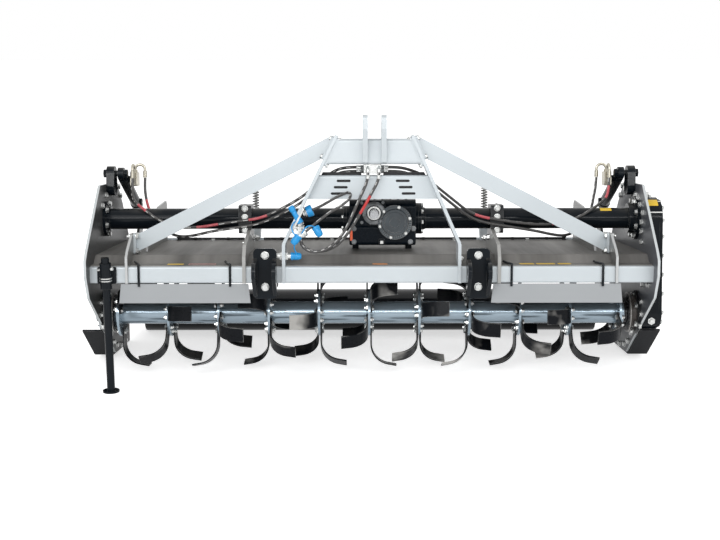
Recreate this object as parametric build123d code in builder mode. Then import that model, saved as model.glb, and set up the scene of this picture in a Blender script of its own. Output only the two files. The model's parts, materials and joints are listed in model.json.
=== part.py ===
"""Rotary tiller for a three-point linkage, with side drive and a rear packer roller.

The machine is modelled level in its own frame: X to the right hand of someone who stands
at the tractor and looks at the machine, Y to the rear from the front face of the front
beam, and Z up. At the end it is set down as it parks: nose up, on the parking stand, the
heels of both skids and the roller. Lengths are in millimetres, angles in degrees.
"""

import os
from math import atan2, cos, degrees, hypot, radians, sin, tan

from build123d import *

SIDES = ((-1, "left"), (1, "right"))

# ------------------------------------------------------------------ overall layout
inner_width = 2680.0        # between the side plates
half_width = inner_width / 2
park_angle = 5.5            # nose-up angle at which the machine stands when parked
hitch_offset = 14.0         # mast and gearbox stand this far to the right of the middle
touch = 0.3                 # running gap between curved faces of different bodies

# ------------------------------------------------------------------ frame
beam = 80.0                 # front beam, square tube
beam_wall = 6.0
beam_z = 567.0              # height of its axis
beam_top = beam_z + beam / 2
beam_bottom = beam_z - beam / 2
beam_corner = 10.0

plate_thick = 12.0          # side plates
plate_top = 980.0
plate_bottom = 88.0
plate_out = half_width + plate_thick

deck_thick = 5.0            # rotor hood
deck_z = 645.0              # its underside over the rotor
deck_rear = 922.0
rear_beam = 60.0            # square tube under the rear edge of the deck
rear_beam_wall = 5.0

# ------------------------------------------------------------------ drive line
rotor_y, rotor_z = 345.0, 334.0
tube_y, tube_z = 390.0, 807.0
tube_d = 104.0              # cross tubes that carry the gearbox
tube_wall = 8.0
left_flange_d = 176.0
right_flange_d = 216.0
flange_thick = 16.0

gearbox_left, gearbox_right = hitch_offset - 122.0, hitch_offset + 208.0
gearbox_front, gearbox_rear = 270.0, 520.0
neck_r = {-1: 64.0, 1: 78.0}    # of the joints with the cross tubes, left and right
gearbox_bottom, gearbox_top = 682.0, 907.0
input_z = 843.0             # height of the input shaft
input_flange_r = 40.0
input_block = (-74.0, 58.0)  # the input housing's sides, measured from the shaft
gearbox_seam_z = 783.0      # top of the lower half of the gear case, which stands proud
input_front = 232.0         # front face of the input housing
pto_d = 44.5                # 1 3/4 inch shaft
pto_splines = 20
pto_spline_depth = 3.0
pto_length = 100.0
gear_cover_x = hitch_offset + 103.0
gear_cover_z = 797.0
gear_cover_r = 84.0

case_top_r = 105.0          # side drive case round the cross tube's axis
case_bottom_r = 88.0        # and round the rotor's axis
case_thick = 84.0
case_cover_thick = 18.0

# ------------------------------------------------------------------ rotor
rotor_tube_d = 112.0
rotor_tube_wall = 10.0
rotor_shift = -10.0         # the rotor's middle lies a little to the left
flange_pitch = 250.0
flange_count = 11
rotor_flange_d = 236.0
rotor_flange_thick = 12.0
blade_radius = 270.0        # path of the blade tips
blade_width = 72.0
blade_thick = 8.0
blade_reach = 145.0         # how far a blade turns sideways from its flange
blade_bend = 105.0
blade_turn = 80.0
blade_twist = 23.0          # each flange is turned this much from its neighbour
bearing_r = 92.0
bearing_thick = 38.0
stub_r = 32.0               # rotor stub shafts

# ------------------------------------------------------------------ rear roller
roller_r = 118.0
roller_wall = 8.0
roller_length = 2558.0
roller_y = 1156.0
roller_stub_r = 22.5
arm_in = half_width - 50.0  # inner face of the roller arms
arm_thick = 15.0
arm_pivot_y, arm_pivot_z = 985.0, 560.0
arm_pivot_r = 25.0
lever_y, lever_z = 1115.0, 735.0    # pin for the cylinder
lever_pin_r = 12.5

# ------------------------------------------------------------------ depth cylinders
cylinder_x = half_width - 70.0
cylinder_top_y, cylinder_top_z = 460.0, 1033.0
cylinder_pin_r = 15.0
barrel_r = 28.0
barrel_start, barrel_end = 55.0, 445.0
cylinder_rod_r = 14.0
rod_overlap = 60.0          # how far the rod is modelled inside the barrel
rod_travel = 110.0          # free depth of the bore behind it
eye_r = 30.0
eye_width = 30.0
open_eye_gap = 6.0          # radial room of the rod's eye round its pin

# ------------------------------------------------------------------ tailgate
hinge_y, hinge_z = deck_rear + 20.0, deck_z + 1.0
hinge_rod_r = 8.0
knuckle_r = 14.0
knuckle_length = 90.0
tailgate_half = half_width - 75.0
tailgate_thick = 5.0
spring_rod_x = 636.0
spring_rod_y = hinge_y + 75.0
spring_rod_r = 8.0
lug_drop = 28.0             # angle of the tailgate lug's slot below level
lug_z = hinge_z - (spring_rod_y - hinge_y) * tan(radians(lug_drop))
lug_thick = 12.0
spring_seat_z = 757.0       # top of the bracket that the spring stands on
spring_top_z = 925.0
spring_r = 20.5
spring_wire = 6.5

# ------------------------------------------------------------------ three-point hitch
hitch_spread = 1010.0       # between the middles of the lower brackets
lower_pin_y, lower_pin_z = -85.0, 590.0
lower_pin_r = 18.3          # category 3 lower hitch pin
pin_play = 0.3              # room for it in the brackets' holes
lower_gap = 77.0            # between the ears of a lower bracket
lower_ear = 18.0
mast_height = 685.0
top_pin_y, top_pin_z = -30.0, lower_pin_z + mast_height
top_hole_r = 16.0
ear_gap = 64.0
ear_thick = 24.0

leg_thick = 15.0
leg_front, leg_rear = -12.0, 120.0
leg_foot_x = 410.0
leg_bend_z = 712.0
leg_head_x = 172.0
leg_head_z = 1222.0
upper_beam = 120.0
upper_beam_wall = 8.0
upper_beam_z = 1150.0
end_plate = 10.0

brace_width = 76.0
brace_thick = 10.0
brace_foot = (1146.0, 182.0, 702.0)     # where the bar meets its tab, on the right side
brace_head_z = 1170.0
brace_head_y = 60.0
brace_bracket_x = 1170.0
bracket_thick = 12.0
tube_bracket_x = 606.0
tube_bracket_thick = 16.0
clamp_width = 64.0
clamp_size = 140.0

fin_x = 1120.0              # upright stiffening plates on the deck
fin_thick = 10.0

# ------------------------------------------------------------------ oil lines
hose_d = 14.0
loop_hose_d = 13.0
hose_gap = 1.2              # between a hose and an end piece that moves with a cylinder
ferrule = 34.0              # length of a hose's crimped end
block_x = hitch_offset - 10.0
block_wide, block_high = 84.0, 45.0
block_front, block_rear = 20.0, 116.0
port_z = 1074.0
port_drop = 19.0            # from the upper to the lower port on each side
side_port_y = 98.0
supply_y = -4.0
supply_ports = (block_x - 22.0, block_x + 30.0)
valve_thick, valve_high = 36.0, 70.0
pipe_bend = 25.0
coupler_r = 15.0
shelf_z = 790.0             # of the shelf that the upright couplers stand in
upright_x, upright_z = -341.0, 778.0
supply_end_y = 5.0
loop_couplers = (           # each from one end to the other
    ((-346.0, -30.0, 747.0), (-310.0, -30.0, 777.0)),
    ((-285.0, 38.0, 872.0), (-325.8, 38.0, 855.0)),
)
through_z = 655.0           # height of the coupler that passes through the leg

# ------------------------------------------------------------------ name plates
plate_middles = (-890.0, 882.0)

# ------------------------------------------------------------------ skids and stand
skid_thick = 10.0
skid_width = 100.0
skid_start_y = 290.0
skid_bend = 60.0
heel_y = 850.0
sole_z = plate_bottom - skid_thick

stand_x = -1257.0
stand_y = -33.0             # of its axis at the height of the beam's axis
stand_tube_r = 19.0
holder_r = 27.0
stand_foot_r = 40.0
stand_foot_thick = 8.0


def floor_z(y):
    """Height of the floor in the machine's frame, under the point y."""
    return sole_z + (y - heel_y) * tan(radians(park_angle))


roller_z = floor_z(roller_y) + roller_r / cos(radians(park_angle))
finished = []


def keep(piece, label):
    """Name a finished sub-part and put it with those to be written."""
    piece.part.label = label
    finished.append(piece.part)


# ------------------------------------------------------------------ front beam
with BuildPart() as front_beam:
    with BuildSketch(Plane.YZ.offset(-half_width)):
        with Locations((beam / 2, beam_z)):
            RectangleRounded(beam, beam, beam_corner)
            inside = beam - 2 * beam_wall
            RectangleRounded(inside, inside, beam_corner - beam_wall, mode=Mode.SUBTRACT)
    extrude(amount=inner_width)
keep(front_beam, "front_beam")

# ------------------------------------------------------------------ side plates
front_slope = (407.0 - plate_bottom) / (556.0 - 60.0)   # of the lower front edge
plate_outline = (           # (y, z) from the top front corner, round by the rear
    (280.0, plate_top),
    (690.0, plate_top),
    (830.0, 855.0),
    (960.0, 690.0),
    (arm_pivot_y + 55.0, arm_pivot_z + 40.0),
    (arm_pivot_y + 55.0, arm_pivot_z - 80.0),
    (930.0, 300.0),
    (930.0, plate_bottom),
    (556.0, plate_bottom),
    (60.0, 407.0),
    (-15.0, 455.0),
    (-75.0, beam_z),
    (-75.0, beam_top + 33.0),
    (-40.0, beam_top + 75.0),
)
for side, hand in SIDES:
    with BuildPart() as side_plate:
        with BuildSketch(Plane.YZ.offset(side * half_width)):
            with BuildLine():
                Polyline(*plate_outline, close=True)
            make_face()
            heel = vertices().sort_by(Axis.Y)[:2].sort_by(Axis.X)[0]
            fillet(heel, skid_bend)
            fillet(vertices().filter_by(lambda v: v.Y > plate_bottom + 1), 16)
            with Locations((rotor_y, rotor_z)):
                Circle(stub_r + 20, mode=Mode.SUBTRACT)
        extrude(amount=side * plate_thick)
        # the pin that the roller arm turns on, with its end washer
        with BuildSketch(Plane.YZ.offset(side * half_width)):
            with Locations((arm_pivot_y, arm_pivot_z)):
                Circle(arm_pivot_r)
        extrude(amount=-side * (half_width - arm_in + 8))
        with BuildSketch(Plane.YZ.offset(side * (arm_in - 2))):
            with Locations((arm_pivot_y, arm_pivot_z)):
                Circle(arm_pivot_r + 13)
        extrude(amount=-side * 7)
    keep(side_plate, f"side_plate_{hand}")

# ------------------------------------------------------------------ deck and rear beam
with BuildPart() as deck:
    with BuildSketch(Plane.YZ.offset(-half_width)):
        with BuildLine():
            FilletPolyline(
                (beam / 4, beam_top), (beam + 8, beam_top), (beam + 60, deck_z), (deck_rear, deck_z),
                radius=12,
            )
            offset(amount=deck_thick, side=Side.LEFT)
        make_face()
    extrude(amount=inner_width)
keep(deck, "deck")

# the room that the deck and the front beam take, for the plates that stand on them
with BuildPart() as under_deck:
    with BuildSketch(Plane.YZ.offset(-half_width)):
        with BuildLine():
            Polyline(
                (0, 0), (0, beam_top), (beam / 4, beam_top), (beam / 4, beam_top + 2),
                (beam + 8, beam_top + 2), (beam + 60, deck_z + 2), (deck_rear, deck_z + 2),
                (deck_rear, 0), close=True,
            )
        make_face()
    extrude(amount=inner_width)
    add(deck.part)

with BuildPart() as rear_tube:
    with BuildSketch(Plane.YZ.offset(-half_width)):
        with Locations((deck_rear - rear_beam / 2, deck_z - rear_beam / 2)):
            RectangleRounded(rear_beam, rear_beam, 8)
            inside = rear_beam - 2 * rear_beam_wall
            RectangleRounded(inside, inside, 8 - rear_beam_wall, mode=Mode.SUBTRACT)
    extrude(amount=inner_width)
keep(rear_tube, "rear_beam")

# ------------------------------------------------------------------ mast


def leg_plane(side, out):
    """The sloping plane of a mast leg, moved outwards by out from its inner face.

    Its origin is at the leg's bend, its y runs up the leg and its z points outwards.
    """
    foot = Vector(side * leg_foot_x, 0, leg_bend_z)
    head = Vector(hitch_offset + side * leg_head_x, 0, leg_head_z)
    along = (head - foot).normalized()
    outward = Vector(side * along.Z, 0, -side * along.X)
    return Plane(origin=foot + outward * out, x_dir=(0, side, 0), z_dir=outward)


for side, hand in SIDES:
    with BuildPart() as mast_leg:
        with BuildSketch(Plane.XZ.offset(-leg_rear)):
            with BuildLine():
                FilletPolyline(
                    (side * leg_foot_x, beam_bottom),
                    (side * leg_foot_x, leg_bend_z),
                    (hitch_offset + side * leg_head_x, leg_head_z),
                    radius=45,
                )
                offset(amount=leg_thick, side=Side.RIGHT if side > 0 else Side.LEFT)
            make_face()
        extrude(amount=leg_rear - leg_front)
        add(under_deck.part, mode=Mode.SUBTRACT)
    keep(mast_leg, f"mast_leg_{hand}")

with BuildPart() as headstock_beam:
    with BuildSketch(Plane.YZ.offset(-leg_foot_x)):
        with Locations((upper_beam / 2, upper_beam_z)):
            RectangleRounded(upper_beam, upper_beam, 14)
            inside = upper_beam - 2 * upper_beam_wall
            RectangleRounded(inside, inside, 14 - upper_beam_wall, mode=Mode.SUBTRACT)
    extrude(amount=2 * leg_foot_x)
    for side, _ in SIDES:
        split(bisect_by=leg_plane(side, -end_plate), keep=Keep.BOTTOM)
    for side, _ in SIDES:
        ends = leg_plane(side, -end_plate)
        middle = (upper_beam_z - leg_bend_z) / Vector(ends.y_dir).Z
        with BuildSketch(ends):
            with Locations((side * upper_beam / 2, middle)):
                RectangleRounded(leg_rear + 6, upper_beam + 26, 8)
        extrude(amount=end_plate)
keep(headstock_beam, "headstock_beam")

with BuildPart() as top_link_ears:
    for side, _ in SIDES:
        with BuildSketch(Plane.YZ.offset(hitch_offset + side * ear_gap / 2)):
            with BuildLine():
                Polyline(
                    (0, upper_beam_z - upper_beam / 2), (-25, upper_beam_z - 50),
                    (top_pin_y - 45, top_pin_z - 20), (top_pin_y - 45, top_pin_z + 45),
                    (top_pin_y + 45, top_pin_z + 45), (upper_beam - 10, upper_beam_z + 60),
                    (0, upper_beam_z + 60), close=True,
                )
            make_face()
            fillet(vertices().group_by(Axis.Y)[-1], 18)
            with Locations((top_pin_y, top_pin_z)):
                Circle(top_hole_r, mode=Mode.SUBTRACT)
        extrude(amount=side * ear_thick)
keep(top_link_ears, "top_link_ears")

# ------------------------------------------------------------------ braces and their brackets
for side, hand in SIDES:
    foot = Vector(side * brace_foot[0], brace_foot[1], brace_foot[2])
    outer_face = leg_plane(side, leg_thick + end_plate)
    up_leg = (brace_head_z - outer_face.origin.Z) / Vector(outer_face.y_dir).Z
    head = outer_face.from_local_coords((side * brace_head_y, up_leg, 0))
    bar_plane = Plane(origin=foot, x_dir=head - foot, z_dir=(head - foot).cross(Vector(0, 0, side)))
    with BuildPart() as brace:
        with BuildSketch(bar_plane):
            Rectangle(3 * half_width, brace_width)
        extrude(amount=brace_thick / 2, both=True)
        split(bisect_by=outer_face, keep=Keep.TOP)
        split(bisect_by=Plane(origin=foot, z_dir=(side, 0, 0)), keep=Keep.BOTTOM)
        with BuildSketch(leg_plane(side, leg_thick)):
            with Locations((side * brace_head_y, up_leg)):
                RectangleRounded(88, 120, 10)
        extrude(amount=end_plate)
        with BuildSketch(Plane.YZ.offset(foot.X)):
            with Locations((foot.Y, foot.Z)):
                RectangleRounded(66, 100, 10)
        extrude(amount=side * bracket_thick)
    keep(brace, f"brace_{hand}")

    with BuildPart() as brace_bracket:
        with BuildSketch(Plane.YZ.offset(foot.X + side * bracket_thick)):
            with BuildLine():
                Polyline(
                    (leg_front, beam_bottom), (leg_front, beam_top + 45), (20, beam_top + 75),
                    (foot.Y - 45, foot.Z + 48), (foot.Y + 45, foot.Z + 48), (foot.Y + 45, deck_z),
                    (beam / 2, beam_bottom), close=True,
                )
            make_face()
            fillet(vertices().group_by(Axis.Y)[-1], 20)
        extrude(amount=side * bracket_thick)
        add(under_deck.part, mode=Mode.SUBTRACT)
    keep(brace_bracket, f"brace_bracket_{hand}")

# upright stiffening plates on the deck, low under the cross tube and high behind it
with BuildPart() as deck_fins:
    for side, _ in SIDES:
        with BuildSketch(Plane.YZ.offset(side * fin_x - fin_thick / 2)):
            with BuildLine():
                Polyline(
                    (300, deck_z + deck_thick), (330, 700), (520, 700), (600, 800), (640, 850),
                    (895, 868), (deck_rear - 6, 848), (deck_rear - 6, deck_z + deck_thick), close=True,
                )
            make_face()
            fillet(vertices().filter_by(lambda v: v.Z > deck_z + deck_thick + 1), 10)
        extrude(amount=fin_thick)
keep(deck_fins, "deck_fins")

# ------------------------------------------------------------------ drive line
with BuildPart() as gearbox:
    with BuildSketch(Plane.YZ.offset(gearbox_left)):
        with Locations(((gearbox_front + gearbox_rear) / 2, (gearbox_bottom + gearbox_top) / 2)):
            RectangleRounded(gearbox_rear - gearbox_front, gearbox_top - gearbox_bottom, 40)
    extrude(amount=gearbox_right - gearbox_left)
    # lower half, with its ledge and the square drain plug
    with BuildSketch(Plane.YZ.offset(gearbox_left + 4)):
        with Locations(((gearbox_front + gearbox_rear) / 2, (gearbox_bottom + gearbox_seam_z) / 2)):
            RectangleRounded(gearbox_rear - gearbox_front + 16, gearbox_seam_z - gearbox_bottom, 18)
    extrude(amount=gearbox_right - gearbox_left - 8)
    with BuildSketch(Plane.XZ.offset(-gearbox_front)):
        with Locations((hitch_offset + 38, gearbox_bottom + 18)):
            RectangleRounded(30, 30, 5)
    extrude(amount=26)
    # input housing, a squarish casting with a round boss, and the gear cover beside it
    with BuildSketch(Plane.XZ.offset(-gearbox_front - 5)):
        with Locations((hitch_offset + sum(input_block) / 2, (gearbox_seam_z + gearbox_top) / 2)):
            RectangleRounded(input_block[1] - input_block[0], gearbox_top - gearbox_seam_z, 26)
    extrude(amount=5 + gearbox_front - input_front - 18)
    with BuildSketch(Plane.XZ.offset(-gearbox_front - 5)):
        with Locations((gear_cover_x, gear_cover_z)):
            Circle(gear_cover_r)
    extrude(amount=5 + gearbox_front - input_front - 12)
    with BuildSketch(Plane.XZ.offset(-input_front - 13)):
        with Locations((gear_cover_x, gear_cover_z)):
            Circle(gear_cover_r - 20)
    extrude(amount=8, taper=20)
    with BuildSketch(Plane.XZ.offset(-input_front - 19)):
        with Locations((hitch_offset, input_z)):
            Circle(input_flange_r)
    extrude(amount=19, taper=8)
    # cooling ribs on the top and the back
    for x in (-78, -39, 0, 39, 78, 117, 156):
        with BuildSketch(Plane.YZ.offset(hitch_offset + x)):
            with Locations(((gearbox_front + gearbox_rear) / 2 + 14, (gearbox_bottom + gearbox_top) / 2 + 3)):
                RectangleRounded(gearbox_rear - gearbox_front + 4, gearbox_top - gearbox_bottom + 10, 44)
        extrude(amount=8)
    # the cross tubes' flanges are bolted against these necks
    for x, out in ((gearbox_left, -1), (gearbox_right, 1)):
        with BuildSketch(Plane.YZ.offset(x - out)):
            with Locations((tube_y, tube_z)):
                Circle(neck_r[out])
        extrude(amount=out * 16)
    # feet on the deck, set back under the case
    for x in (gearbox_left + 14, gearbox_right - 46):
        with BuildSketch(Plane.XY.offset(deck_z + deck_thick)):
            with Locations((x + 16, gearbox_rear - 40)):
                Rectangle(32, 110)
        extrude(amount=gearbox_bottom - deck_z - deck_thick + 12)
    with BuildSketch(Plane.XZ.offset(-input_front)):
        with Locations((hitch_offset, input_z)):
            Circle(pto_d / 2 + touch)
    extrude(amount=-90, mode=Mode.SUBTRACT)
keep(gearbox, "gearbox")

with BuildPart() as pto_shaft:
    with BuildSketch(Plane.XZ.offset(-input_front - 88)):
        with Locations((hitch_offset, input_z)):
            Circle(pto_d / 2)
    extrude(amount=88 + pto_length)
    with BuildSketch(Plane.XZ.offset(-input_front + 26)):
        with Locations((hitch_offset, input_z)):
            with PolarLocations(pto_d / 2, pto_splines):
                Rectangle(2 * pto_spline_depth, 3.2)
    extrude(amount=pto_length, mode=Mode.SUBTRACT)
keep(pto_shaft, "pto_shaft")

tube_ends = {-1: gearbox_left - 15.0, 1: gearbox_right + 15.0}
for side, hand in SIDES:
    start = tube_ends[side]
    flange_d = right_flange_d if side > 0 else left_flange_d
    with BuildPart() as cross_tube:
        with BuildSketch(Plane.YZ.offset(start)):
            with Locations((tube_y, tube_z)):
                Circle(neck_r[side])
        extrude(amount=side * flange_thick)
        if side > 0:
            with BuildSketch(Plane.YZ.offset(start + side * (flange_thick - 1))):
                with Locations((tube_y, tube_z)):
                    Circle(tube_d / 2 + 9)
            extrude(amount=side * 22, taper=18)
        with BuildSketch(Plane.YZ.offset(start)):
            with Locations((tube_y, tube_z)):
                Circle(tube_d / 2)
        extrude(amount=side * (half_width - abs(start)))
        with BuildSketch(Plane.YZ.offset(side * half_width)):
            with Locations((tube_y, tube_z)):
                Circle(flange_d / 2)
        extrude(amount=-side * flange_thick)
        with BuildSketch(Plane.YZ.offset(side * (half_width - flange_thick + 1))):
            with Locations((tube_y, tube_z)):
                Circle(75 if side > 0 else 62)
        extrude(amount=-side * (33 if side > 0 else 15))
        with BuildSketch(Plane.YZ.offset(start)):
            with Locations((tube_y, tube_z)):
                Circle(tube_d / 2 - tube_wall)
        extrude(amount=side * (half_width - abs(start)), mode=Mode.SUBTRACT)
    keep(cross_tube, f"cross_tube_{hand}")

for side, hand in SIDES:
    with BuildPart() as tube_bracket:
        with BuildSketch(Plane.YZ.offset(side * (tube_bracket_x - tube_bracket_thick / 2))):
            with BuildLine():
                Polyline(
                    (leg_front, beam_bottom), (leg_front, beam_top + 45), (30, beam_top + 100),
                    (tube_y - clamp_size / 2, tube_z - 45), (tube_y + clamp_size / 2, tube_z - 45),
                    (tube_y + clamp_size / 2 + 40, deck_z), (0, beam_bottom), close=True,
                )
            make_face()
        extrude(amount=side * tube_bracket_thick)
        add(under_deck.part, mode=Mode.SUBTRACT)
        # the clamp that holds the cross tube
        with BuildSketch(Plane.YZ.offset(side * (tube_bracket_x - tube_bracket_thick / 2))):
            with Locations((tube_y, tube_z)):
                RectangleRounded(clamp_size, clamp_size, 14)
        extrude(amount=side * clamp_width)
        with BuildSketch(Plane.YZ.offset(side * (tube_bracket_x - tube_bracket_thick / 2))):
            with Locations((tube_y, tube_z)):
                Circle(tube_d / 2)
        extrude(amount=side * clamp_width, mode=Mode.SUBTRACT)
    keep(tube_bracket, f"tube_bracket_{hand}")

with BuildPart() as drive_case:
    with BuildSketch(Plane.YZ.offset(plate_out)):
        with BuildLine():
            # two circles and the outer tangents between them
            lean = atan2(tube_y - rotor_y, tube_z - rotor_z)
            span = hypot(tube_y - rotor_y, tube_z - rotor_z)
            turn = degrees(atan2(case_top_r - case_bottom_r, span))
            up = 90 - degrees(lean)
            top = CenterArc((tube_y, tube_z), case_top_r, up - 90 - turn, 180 + 2 * turn)
            bottom = CenterArc((rotor_y, rotor_z), case_bottom_r, up + 90 + turn, 180 - 2 * turn)
            Line(top @ 1, bottom @ 0)
            Line(bottom @ 1, top @ 0)
        make_face()
    extrude(amount=case_thick)
    with BuildSketch(Plane.YZ.offset(plate_out + case_thick)):
        with BuildLine():
            Line(top @ 1, bottom @ 0)
            Line(bottom @ 1, top @ 0)
            add(top)
            add(bottom)
        make_face()
        offset(amount=-9, kind=Kind.ARC)
    extrude(amount=case_cover_thick)
    fillet(edges().group_by(Axis.X)[-1], 8)
    with BuildSketch(Plane.YZ.offset(plate_out)):
        with Locations((rotor_y, rotor_z)):
            Circle(stub_r + 12)
    extrude(amount=case_thick - 20, mode=Mode.SUBTRACT)
keep(drive_case, "drive_case")

# ------------------------------------------------------------------ rotor
first_flange = rotor_shift - flange_pitch * (flange_count - 1) / 2
last_flange = rotor_shift + flange_pitch * (flange_count - 1) / 2
tube_half = flange_pitch * (flange_count - 1) / 2 + 30
with BuildPart() as rotor:
    with BuildSketch(Plane.YZ.offset(rotor_shift - tube_half)):
        with Locations((rotor_y, rotor_z)):
            Circle(rotor_tube_d / 2)
            Circle(rotor_tube_d / 2 - rotor_tube_wall, mode=Mode.SUBTRACT)
    extrude(amount=2 * tube_half)
    for number in range(flange_count):
        x = first_flange + number * flange_pitch
        with BuildSketch(Plane.YZ.offset(x - rotor_flange_thick / 2)):
            with Locations((rotor_y, rotor_z)):
                Circle(rotor_flange_d / 2)
                Circle(rotor_tube_d / 2 - 1, mode=Mode.SUBTRACT)
        extrude(amount=rotor_flange_thick)
    for side, _ in SIDES:
        with BuildSketch(Plane.YZ.offset(rotor_shift + side * (tube_half - 40))):
            with Locations((rotor_y, rotor_z)):
                Circle(rotor_tube_d / 2 - rotor_tube_wall + 1)
        extrude(amount=side * 34)
        stub_end = plate_out + 40 if side > 0 else half_width + 2
        with BuildSketch(Plane.YZ.offset(rotor_shift + side * (tube_half - 40))):
            with Locations((rotor_y, rotor_z)):
                Circle(stub_r)
        extrude(amount=side * (stub_end - side * rotor_shift - tube_half + 40))
keep(rotor, "rotor")

shank_end = blade_radius - blade_bend * sin(radians(blade_turn)) - blade_thick
for side, hand in SIDES:
    face = side * rotor_flange_thick / 2
    with BuildPart() as blade:
        with BuildSketch(Plane.XZ):
            with BuildLine():
                shank = Line((face, 70), (face, shank_end))
                bend = JernArc(shank @ 1, shank % 1, blade_bend, -side * blade_turn)
                Line(bend @ 1, bend @ 1 + (bend % 1) * (blade_reach - 100))
                offset(amount=blade_thick, side=Side.RIGHT if side > 0 else Side.LEFT)
            make_face()
        extrude(amount=blade_width / 2, both=True)
    with BuildPart() as blades:
        # the two end flanges carry blades on their inner face only
        for number in range(flange_count):
            x = first_flange + number * flange_pitch
            if number == (0 if side < 0 else flange_count - 1):
                continue
            with Locations(Location((x, rotor_y, rotor_z))):
                for turn in range(3):
                    angle = number * blade_twist + turn * 120 + (60 if side > 0 else 0)
                    add(Rot(X=angle) * blade.part)
    keep(blades, f"blades_{hand}")

with BuildPart() as bearings:
    for side, _ in SIDES:
        with BuildSketch(Plane.YZ.offset(side * half_width)):
            with Locations((rotor_y, rotor_z)):
                Circle(bearing_r + 18)
        extrude(amount=-side * 14)
        with BuildSketch(Plane.YZ.offset(side * (half_width - 13))):
            with Locations((rotor_y, rotor_z)):
                Circle(bearing_r - 14)
        extrude(amount=-side * (bearing_thick - 13), taper=6)
        with BuildSketch(Plane.YZ.offset(side * half_width)):
            with Locations((rotor_y, rotor_z)):
                Circle(stub_r + touch)
        extrude(amount=-side * bearing_thick, mode=Mode.SUBTRACT)
keep(bearings, "rotor_bearings")

with BuildPart() as bearing_cap:
    with BuildSketch(Plane.YZ.offset(-plate_out)):
        with Locations((rotor_y, rotor_z)):
            Circle(stub_r + 58)
    extrude(amount=-12)
    with BuildSketch(Plane.YZ.offset(-plate_out - 11)):
        with Locations((rotor_y, rotor_z)):
            Circle(stub_r + 16)
    extrude(amount=-22, taper=12)
    with BuildSketch(Plane.YZ.offset(-plate_out)):
        with Locations((rotor_y, rotor_z)):
            Circle(stub_r + 4)
    extrude(amount=-14, mode=Mode.SUBTRACT)
keep(bearing_cap, "bearing_cap")

# ------------------------------------------------------------------ skids
skid_start_z = plate_bottom + (556 - skid_start_y) * front_slope - skid_thick * 1.2
with BuildPart() as skids:
    for side, _ in SIDES:
        with BuildSketch(Plane.YZ.offset(side * plate_out)):
            with BuildLine():
                FilletPolyline(
                    (skid_start_y, skid_start_z),
                    (556 - skid_thick * 0.3, sole_z), (heel_y, sole_z),
                    radius=20,
                )
                offset(amount=skid_thick, side=Side.LEFT)
            make_face()
        extrude(amount=side * skid_width)
        # the web by which it is bolted to the side plate
        with BuildSketch(Plane.YZ.offset(side * plate_out)):
            with BuildLine():
                Polyline(
                    (430, 172), (470, 205), (600, plate_bottom + 60),
                    (heel_y - 10, plate_bottom + 60), (heel_y - 10, sole_z + 4), (556, sole_z + 4),
                    close=True,
                )
            make_face()
        extrude(amount=side * 8)
keep(skids, "skids")

# ------------------------------------------------------------------ rear roller
with BuildPart() as roller:
    with BuildSketch(Plane.YZ.offset(-roller_length / 2)):
        with Locations((roller_y, roller_z)):
            Circle(roller_r)
            Circle(roller_r - roller_wall, mode=Mode.SUBTRACT)
    extrude(amount=roller_length)
    for side, _ in SIDES:
        with BuildSketch(Plane.YZ.offset(side * (roller_length / 2 - 12))):
            with Locations((roller_y, roller_z)):
                Circle(roller_r - roller_wall + 1)
        extrude(amount=-side * 12)
        with BuildSketch(Plane.YZ.offset(side * (roller_length / 2 - 40))):
            with Locations((roller_y, roller_z)):
                Circle(roller_stub_r)
        extrude(amount=side * (half_width - 16 - roller_length / 2 + 40))
keep(roller, "roller")


def hull_lines(y1, z1, r1, y2, z2, r2):
    """Draw the outline round two circles: the two arcs and their outer tangents."""
    span = hypot(y2 - y1, z2 - z1)
    toward = degrees(atan2(z2 - z1, y2 - y1))
    open_by = degrees(atan2(r1 - r2, span))
    far = CenterArc((y2, z2), r2, toward - 90 + open_by, 180 - 2 * open_by)
    near = CenterArc((y1, z1), r1, toward + 90 - open_by, 180 + 2 * open_by)
    Line(far @ 1, near @ 0)
    Line(near @ 1, far @ 0)


for side, hand in SIDES:
    with BuildPart() as roller_arm:
        for end in ((roller_y, roller_z, 70), (lever_y, lever_z, 36)):
            with BuildSketch(Plane.YZ.offset(side * arm_in)):
                with BuildLine():
                    hull_lines(arm_pivot_y, arm_pivot_z, 60, *end)
                make_face()
            extrude(amount=side * arm_thick)
        with BuildSketch(Plane.YZ.offset(side * (arm_in + arm_thick))):
            with Locations((arm_pivot_y, arm_pivot_z)):
                Circle(44)
        extrude(amount=side * (half_width - 1 - arm_in - arm_thick))
        with BuildSketch(Plane.YZ.offset(side * (arm_in + arm_thick))):
            with Locations((roller_y, roller_z)):
                Circle(60)
        extrude(amount=side * 22, taper=4)
        with BuildSketch(Plane.YZ.offset(side * arm_in)):
            with Locations((arm_pivot_y, arm_pivot_z)):
                Circle(arm_pivot_r + touch)
            with Locations((roller_y, roller_z)):
                Circle(roller_stub_r + touch)
        extrude(amount=side * 60, mode=Mode.SUBTRACT)
        # pin for the cylinder's rod
        with BuildSketch(Plane.YZ.offset(side * (arm_in + arm_thick))):
            with Locations((lever_y, lever_z)):
                Circle(lever_pin_r)
        extrude(amount=-side * (arm_in + arm_thick - cylinder_x + eye_width / 2 + 14))
        with BuildSketch(Plane.YZ.offset(side * (cylinder_x - eye_width / 2 - 5))):
            with Locations((lever_y, lever_z)):
                Circle(lever_pin_r + 9)
        extrude(amount=-side * 6)
    keep(roller_arm, f"roller_arm_{hand}")

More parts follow.
